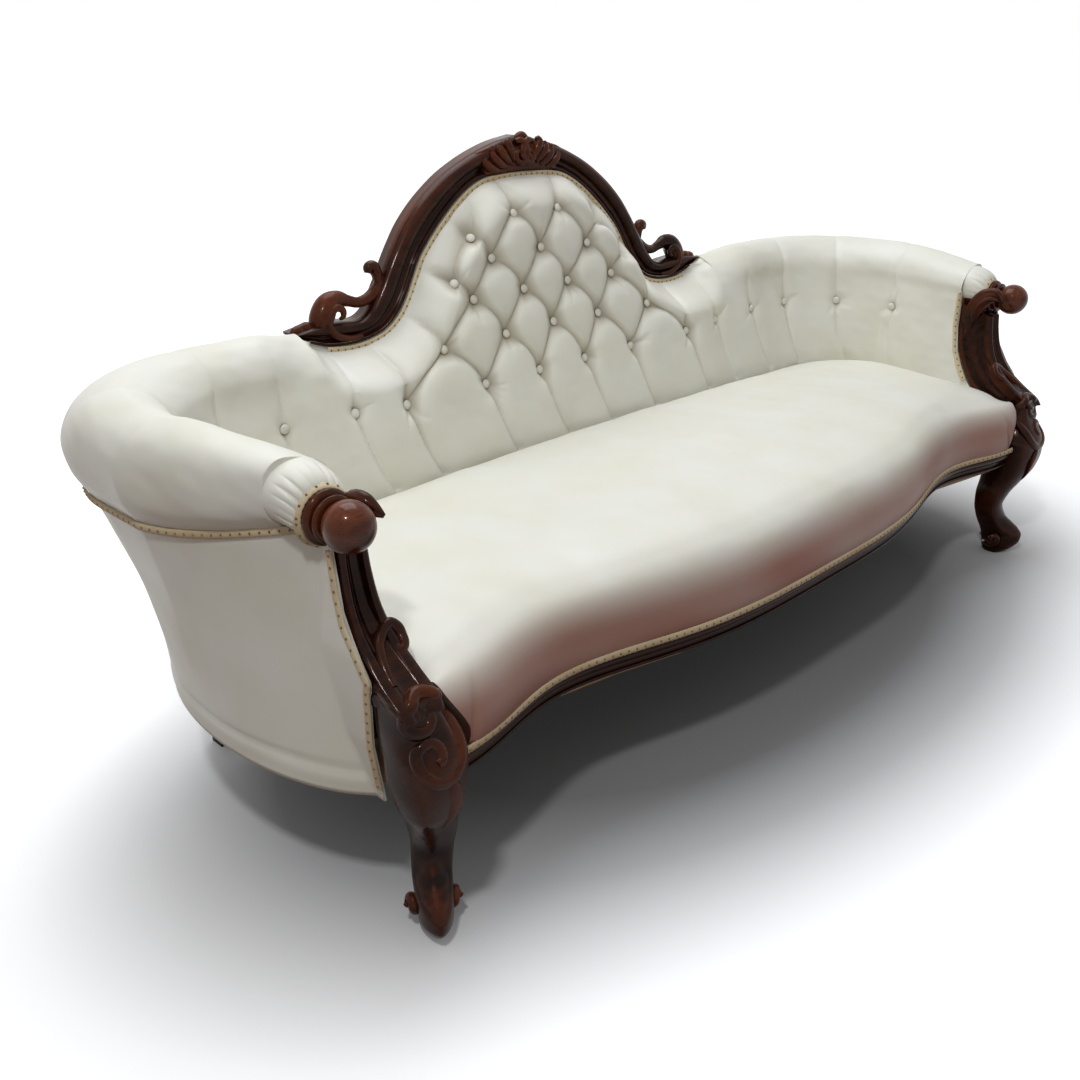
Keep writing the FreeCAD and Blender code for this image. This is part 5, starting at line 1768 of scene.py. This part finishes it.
@dataclass(frozen=True)
class Grain:
    """Long grain of wood: streaks and pores drawn out along x."""

    name: str = "long_grain"
    stretch: float = 7.0
    streaks: float = 9.0
    pores: float = 55.0

    def group(self) -> Tree:
        """Node group that gives Streak and Pore from 0 to 1, made once.

        Returns:
            The group.
        """
        if self.name in bpy.data.node_groups:
            return bpy.data.node_groups[self.name]
        tree, start, end = new_group(self.name, ("Streaks", "Pores"), ("Streak", "Pore"))
        drawn = put(tree, "ShaderNodeVectorMath", {0: start.outputs[0], 1: (1, self.stretch, self.stretch)},
                    operation="MULTIPLY").outputs[0]
        streak = put(tree, "ShaderNodeTexNoise", {"Vector": drawn, "Scale": start.outputs[1], "Detail": 5.0,
                                                  "Distortion": 0.7}).outputs[0]
        pore = put(tree, "ShaderNodeTexNoise", {"Vector": drawn, "Scale": start.outputs[2],
                                                "Detail": 2.0}).outputs[0]
        tree.links.new(ranged(tree, streak, 0.38, 0.66, 0.0, 1.0), end.inputs[0])
        tree.links.new(ranged(tree, pore, 0.55, 0.7, 0.0, 1.0), end.inputs[1])
        return tree

    def lay(self, tree: Tree, place: Socket) -> bpy.types.Node:
        """Places the group in a material with this finish's own values."""
        values = {"Vector": place, "Streaks": self.streaks, "Pores": self.pores}
        return put(tree, "ShaderNodeGroup", values, node_tree=self.group())


@dataclass(frozen=True)
class Handling:
    """Uneven patches of wear, and the fine pebble of a surface."""

    name: str = "handling"
    patches: float = 7.0
    pebble: float = 420.0

    def group(self) -> Tree:
        """Node group that gives Patch from 0 to 1 and the height of the pebble, made once.

        Returns:
            The group.
        """
        if self.name in bpy.data.node_groups:
            return bpy.data.node_groups[self.name]
        tree, start, end = new_group(self.name, ("Patches", "Pebbles"), ("Patch", "Pebble"))
        patch = put(tree, "ShaderNodeTexNoise", {"Vector": start.outputs[0], "Scale": start.outputs[1],
                                                 "Detail": 4.0}).outputs[0]
        pebble = put(tree, "ShaderNodeTexVoronoi", {"Vector": start.outputs[0], "Scale": start.outputs[2]},
                     feature="SMOOTH_F1").outputs[0]
        tree.links.new(ranged(tree, patch, 0.35, 0.68, 0.0, 1.0), end.inputs[0])
        tree.links.new(pebble, end.inputs[1])
        return tree

    def lay(self, tree: Tree, place: Socket) -> bpy.types.Node:
        """Places the group in a material with this finish's own values."""
        values = {"Vector": place, "Patches": self.patches, "Pebbles": self.pebble}
        return put(tree, "ShaderNodeGroup", values, node_tree=self.group())


def start_material(name: str) -> tuple:
    """New material with nodes, read in object coordinates.

    Args:
        name: name of the material.

    Returns:
        Material, tree, shader and the socket of object coordinates.
    """
    material = bpy.data.materials.new(name)
    material.use_nodes = True
    tree = material.node_tree
    place = put(tree, "ShaderNodeTexCoord").outputs["Object"]
    return material, tree, tree.nodes["Principled BSDF"], place


@dataclass(frozen=True)
class PolishedWood:
    """Polished mahogany: near-black hollows, and red-brown ridges, partly worn polish and partly a painted
    highlight.
    """

    name: str = "dark_mahogany"
    hollow: tuple = (0.0035, 0.0014, 0.0012, 1)
    body: tuple = (0.0095, 0.0030, 0.0022, 1)
    # Worn polish and painted highlight: the red-brown that the raised ridges take.
    wear_and_highlight: tuple = (0.15, 0.036, 0.012, 1)
    wear_and_highlight_start: float = 0.03
    wear_and_highlight_full: float = 0.5
    glow: float = 0.14
    roughness: float = 0.2
    shine: float = 0.10
    shine_tint: tuple = (1.0, 0.62, 0.48, 1)
    coat: float = 0.10

    def material(self) -> Material:
        """Relief mixes hollow, body and the red-brown of worn and highlit ridges; streaks and patches break
        it up.

        Returns:
            The material.
        """
        material, tree, shader, place = start_material(self.name)
        relief = put(tree, "ShaderNodeAttribute", attribute_name="relief").outputs["Fac"]
        grain, wear = Grain().lay(tree, place), Handling().lay(tree, place)
        low = mixed(tree, ranged(tree, relief, -0.25, 0.02, 0.0, 1.0), self.hollow, self.body)
        streaked = mixed(tree, ranged(tree, grain.outputs[0], 0, 1, 0, self.glow), low, self.wear_and_highlight)
        # Worn polish and painted highlight: raised ridges within patches of wear turn red-brown.
        raised = ranged(tree, relief, self.wear_and_highlight_start, self.wear_and_highlight_full, 0.0, 0.7)
        where = put(tree, "ShaderNodeMath", {0: raised, 1: wear.outputs[0]}, operation="MULTIPLY").outputs[0]
        wear_and_highlight = mixed(tree, where, streaked, self.wear_and_highlight)
        pores = mixed(tree, ranged(tree, grain.outputs[1], 0, 1, 0, 0.5), wear_and_highlight, self.hollow)
        tree.links.new(pores, shader.inputs["Base Color"])
        tree.links.new(ranged(tree, wear.outputs[0], 0, 1, self.roughness, self.roughness + 0.14),
                       shader.inputs["Roughness"])
        shader.inputs["Specular IOR Level"].default_value = self.shine
        shader.inputs["Specular Tint"].default_value = self.shine_tint
        shader.inputs["Coat Weight"].default_value = self.coat
        shader.inputs["Coat Roughness"].default_value = 0.06
        return material


@dataclass(frozen=True)
class IvoryLeather:
    """Satin ivory hide with a fine pebble; painted shade darkens its creases and turns the seat's front face
    brown.
    """

    name: str = "ivory_leather"
    clean: tuple = (0.755, 0.745, 0.67, 1)
    handled: tuple = (0.72, 0.70, 0.595, 1)
    # Painted shade: crease is the colour of the shade painted into deep creases, brown that of the shade
    # painted on the seat's front face.
    crease: tuple = (0.34, 0.29, 0.20, 1)
    brown: tuple = (0.26, 0.08, 0.045, 1)
    deep: float = 30.0
    roughness: float = 0.40
    pebble: float = 0.10

    def material(self) -> Material:
        """Patches of handling, then the painted shade of the creases and of the seat's front face, over a
        pebbled bump.

        Returns:
            The material.
        """
        material, tree, shader, place = start_material(self.name)
        wear = Handling().lay(tree, place)
        hide = mixed(tree, wear.outputs[0], self.clean, self.handled)
        crease = put(tree, "ShaderNodeAttribute", attribute_name="crease").outputs["Fac"]
        # Painted shade: where the leather sinks between 9 and deep millimetres, its colour darkens towards
        # the crease colour.
        creased = mixed(tree, ranged(tree, crease, 9.0, self.deep, 0.0, 0.95), hide, self.crease)
        # Painted shade: the brown mark turns the seat's front face reddish brown.
        brown = put(tree, "ShaderNodeAttribute", attribute_name="brown").outputs["Fac"]
        tree.links.new(mixed(tree, brown, creased, self.brown), shader.inputs["Base Color"])
        bump = put(tree, "ShaderNodeBump", {"Strength": self.pebble, "Distance": 0.0006,
                                            "Height": wear.outputs[1]}).outputs[0]
        tree.links.new(bump, shader.inputs["Normal"])
        tree.links.new(ranged(tree, wear.outputs[0], 0, 1, self.roughness, self.roughness + 0.1),
                       shader.inputs["Roughness"])
        shader.inputs["Specular IOR Level"].default_value = 0.35
        return material


@dataclass(frozen=True)
class PlainFinish:
    """Finish of one colour that turns to a second one in patches."""

    name: str
    colour: tuple
    second: tuple
    roughness: float
    metal: float = 0.0
    grained: bool = False

    def material(self) -> Material:
        """Two colours mixed by streaks of grain or by patches of handling.

        Returns:
            The material.
        """
        material, tree, shader, place = start_material(self.name)
        marks = (Grain() if self.grained else Handling()).lay(tree, place)
        tree.links.new(mixed(tree, marks.outputs[0], (*self.colour, 1), (*self.second, 1)),
                       shader.inputs["Base Color"])
        shader.inputs["Roughness"].default_value = self.roughness
        shader.inputs["Metallic"].default_value = self.metal
        return material


def seen_ray(tree: Tree) -> Socket:
    """1 for rays of the camera and those seen in shine or through glass, 0 for bounced light.

    Args:
        tree: tree of a material or the world.

    Returns:
        The socket.
    """
    path = put(tree, "ShaderNodeLightPath").outputs
    mirrored = put(tree, "ShaderNodeMath", {0: path["Is Glossy Ray"], 1: path["Is Transmission Ray"]},
                   operation="MAXIMUM").outputs[0]
    return put(tree, "ShaderNodeMath", {0: path["Is Camera Ray"], 1: mirrored},
               operation="MAXIMUM").outputs[0]


@dataclass
class Studio:
    """White floor and backdrop, soft lamps and the photograph's camera."""

    camera_place: tuple = (-1.6498, -1.3136, 1.1237)
    camera_turn: tuple = (66.12, 0.0, -45.287)
    lens: float = 36.67
    sky: float = 0.34
    bounce: tuple = (0.17, 0.095, 0.07)
    near_lift: float = 0.0
    far_lift: float = 0.75
    shadow_middle: tuple = (0.05, -0.10, 0.0)
    shadow_half: tuple = (1.15, 0.62, 1.0)
    lift_reach: tuple = (0.85, 1.9)
    shadow_reach: tuple = (0.62, 1.2)
    shadow_floor: float = 0.30
    plain_floor: float = 0.95
    lamps: tuple = (("top_lamp", (0.2, 0.9, 3.3), 2.2, 64, (0.95, 0.99, 1.05)),
                    ("left_lamp", (-2.0, -1.1, 2.9), 0.24, 27, (0.98, 1.0, 1.03)))

    def floor(self) -> None:
        """Level floor: white to the eye with the object's shadow, dark and warm to bounced light."""
        mesh = bpy.data.meshes.new("studio_floor")
        mesh.from_pydata([(-30, -30, 0), (30, -30, 0), (30, 30, 0), (-30, 30, 0)], [], [(0, 1, 2, 3)])
        floor = bpy.data.objects.new("studio_floor", mesh)
        bpy.context.scene.collection.objects.link(floor)
        material = bpy.data.materials.new("studio_white")
        material.use_nodes = True
        tree, links = material.node_tree, material.node_tree.links
        shown = tree.nodes["Principled BSDF"]
        shown.inputs["Roughness"].default_value = 0.9
        shown.inputs["Specular IOR Level"].default_value = 0.0
        shown.inputs["Emission Color"].default_value = (1, 1, 1, 1)
        place = put(tree, "ShaderNodeTexCoord").outputs["Object"]
        moved = put(tree, "ShaderNodeVectorMath", {0: place, 1: self.shadow_middle},
                    operation="SUBTRACT").outputs[0]
        sized = put(tree, "ShaderNodeVectorMath", {0: moved, 1: self.shadow_half},
                    operation="DIVIDE").outputs[0]
        away = put(tree, "ShaderNodeVectorMath", {0: sized}, operation="LENGTH").outputs["Value"]
        lift = ranged(tree, away, *self.lift_reach, self.near_lift, self.far_lift)
        links.new(lift, shown.inputs["Emission Strength"])
        # Painted shadow: the floor's own colour is darker grey round the settee's footprint, fading to plain
        # white further out.
        grey = ranged(tree, away, *self.shadow_reach, self.shadow_floor, self.plain_floor)
        links.new(grey, shown.inputs["Base Color"])
        bounced = put(tree, "ShaderNodeBsdfDiffuse", {"Color": (*self.bounce, 1)})
        mix = put(tree, "ShaderNodeMixShader", {0: seen_ray(tree), 1: bounced.outputs[0],
                                                2: shown.outputs[0]})
        links.new(mix.outputs[0], tree.nodes["Material Output"].inputs["Surface"])
        mesh.materials.append(material)

    def build(self) -> None:
        """Sets floor, world, lamps and camera."""
        self.floor()
        world = bpy.data.worlds.new("studio_world")
        world.use_nodes = True
        tree = world.node_tree
        background = tree.nodes["Background"]
        tree.links.new(ranged(tree, seen_ray(tree), 0, 1, self.sky, 1), background.inputs["Strength"])
        background.inputs["Color"].default_value = (1, 1, 1, 1)
        bpy.context.scene.world = world
        for name, place, size, power, colour in self.lamps:
            lamp = bpy.data.lights.new(name, "AREA")
            lamp.size, lamp.energy, lamp.color = size, power, colour
            holder = bpy.data.objects.new(name, lamp)
            holder.location = place
            aim = -np.array(place) + np.array([0, 0, 0.4])
            holder.rotation_euler = (float(np.arctan2(np.hypot(aim[0], aim[1]), -aim[2])), 0.0,
                                     float(np.arctan2(-aim[0], aim[1])))
            bpy.context.scene.collection.objects.link(holder)
        camera = bpy.data.cameras.new("photo_camera")
        camera.lens, camera.sensor_width = self.lens, 36.0
        holder = bpy.data.objects.new("photo_camera", camera)
        holder.location = self.camera_place
        holder.rotation_euler = tuple(np.radians(self.camera_turn))
        bpy.context.scene.collection.objects.link(holder)
        bpy.context.scene.camera = holder
        bpy.context.scene.view_settings.view_transform = "Standard"


# CAD nodes that keep their own shape, by the slot whose finish they get.
KEPT_NODES = {
    Slot.FRAME_WOOD: ["front_seat_rail", "back_rail"] + [
        f"{side}_{part}" for side in ("right", "left") for part in
        ("side_rail", "front_block", "back_block", "arm_upright", "corner_upright", "back_upright",
         "arm_top_rail", "back_top_rail")],
    Slot.SHOW_WOOD: ["crest_back_panel", "right_back_leg", "left_back_leg"],
    Slot.CANVAS: ["seat_webbing", "spring_canvas", "seat_dust_cover"],
    Slot.SPRING_STEEL: ["seat_springs"],
}


def report(pieces: list) -> None:
    """Logs every piece with its number of faces."""
    for piece in pieces:
        LOG.info("%s built, %d faces", piece.name, len(piece.data.polygons))


def main() -> None:
    """Builds and dresses every sub-assembly in order."""
    logging.basicConfig(level=logging.INFO, format="%(message)s")
    leather, wood = IvoryLeather().material(), PolishedWood().material()
    # Painted highlight: a lighter, redder copy of the polished wood for the arm balls.
    red_wood = PolishedWood(name="red_mahogany", body=(0.050, 0.014, 0.006, 1), glow=0.75,
                            coat=0.22).material()
    beech = PlainFinish("beech", (0.50, 0.33, 0.18), (0.36, 0.22, 0.11), 0.6, grained=True)
    cloth = PlainFinish("black_cloth", (0.022, 0.021, 0.02), (0.04, 0.037, 0.034), 0.9)
    dull_steel = PlainFinish("dull_steel", (0.42, 0.41, 0.39), (0.25, 0.2, 0.16), 0.42, metal=1.0)
    finishes = {Slot.FRAME_WOOD: beech.material(), Slot.SHOW_WOOD: wood, Slot.CANVAS: cloth.material(),
                Slot.SPRING_STEEL: dull_steel.material()}
    cotton = PlainFinish("yellow_braid", (0.66, 0.55, 0.36), (0.52, 0.41, 0.25), 0.85).material()
    nail_brown = PlainFinish("brown_nails", (0.10, 0.05, 0.03), (0.2, 0.11, 0.06), 0.35,
                             metal=0.6).material()
    inside, outside = InsideLeather(), OutsideLeather()
    report(inside.build(leather))
    report([SeatCushion().build(leather), outside.build(leather)])
    report(CoveredButtons(inside.upholstery, inside).build(leather))
    report([FrontRail().build(wood)] + Crest().build(wood))
    for side in Side:
        report([RollEnd(side).build(leather), FrontLeg(side).build(wood)])
        report(ArmSupport(side).build(wood, red_wood))
    report(Braid(inside, outside).build(cotton, nail_brown))
    for slot, names in KEPT_NODES.items():
        for name in names:
            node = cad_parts[name]
            node.data.materials.clear()
            node.data.materials.append(finishes[slot])
            LOG.info("%s dressed in %s", name, slot.value)
    Studio().build()


if __name__ == "__main__":
    main()
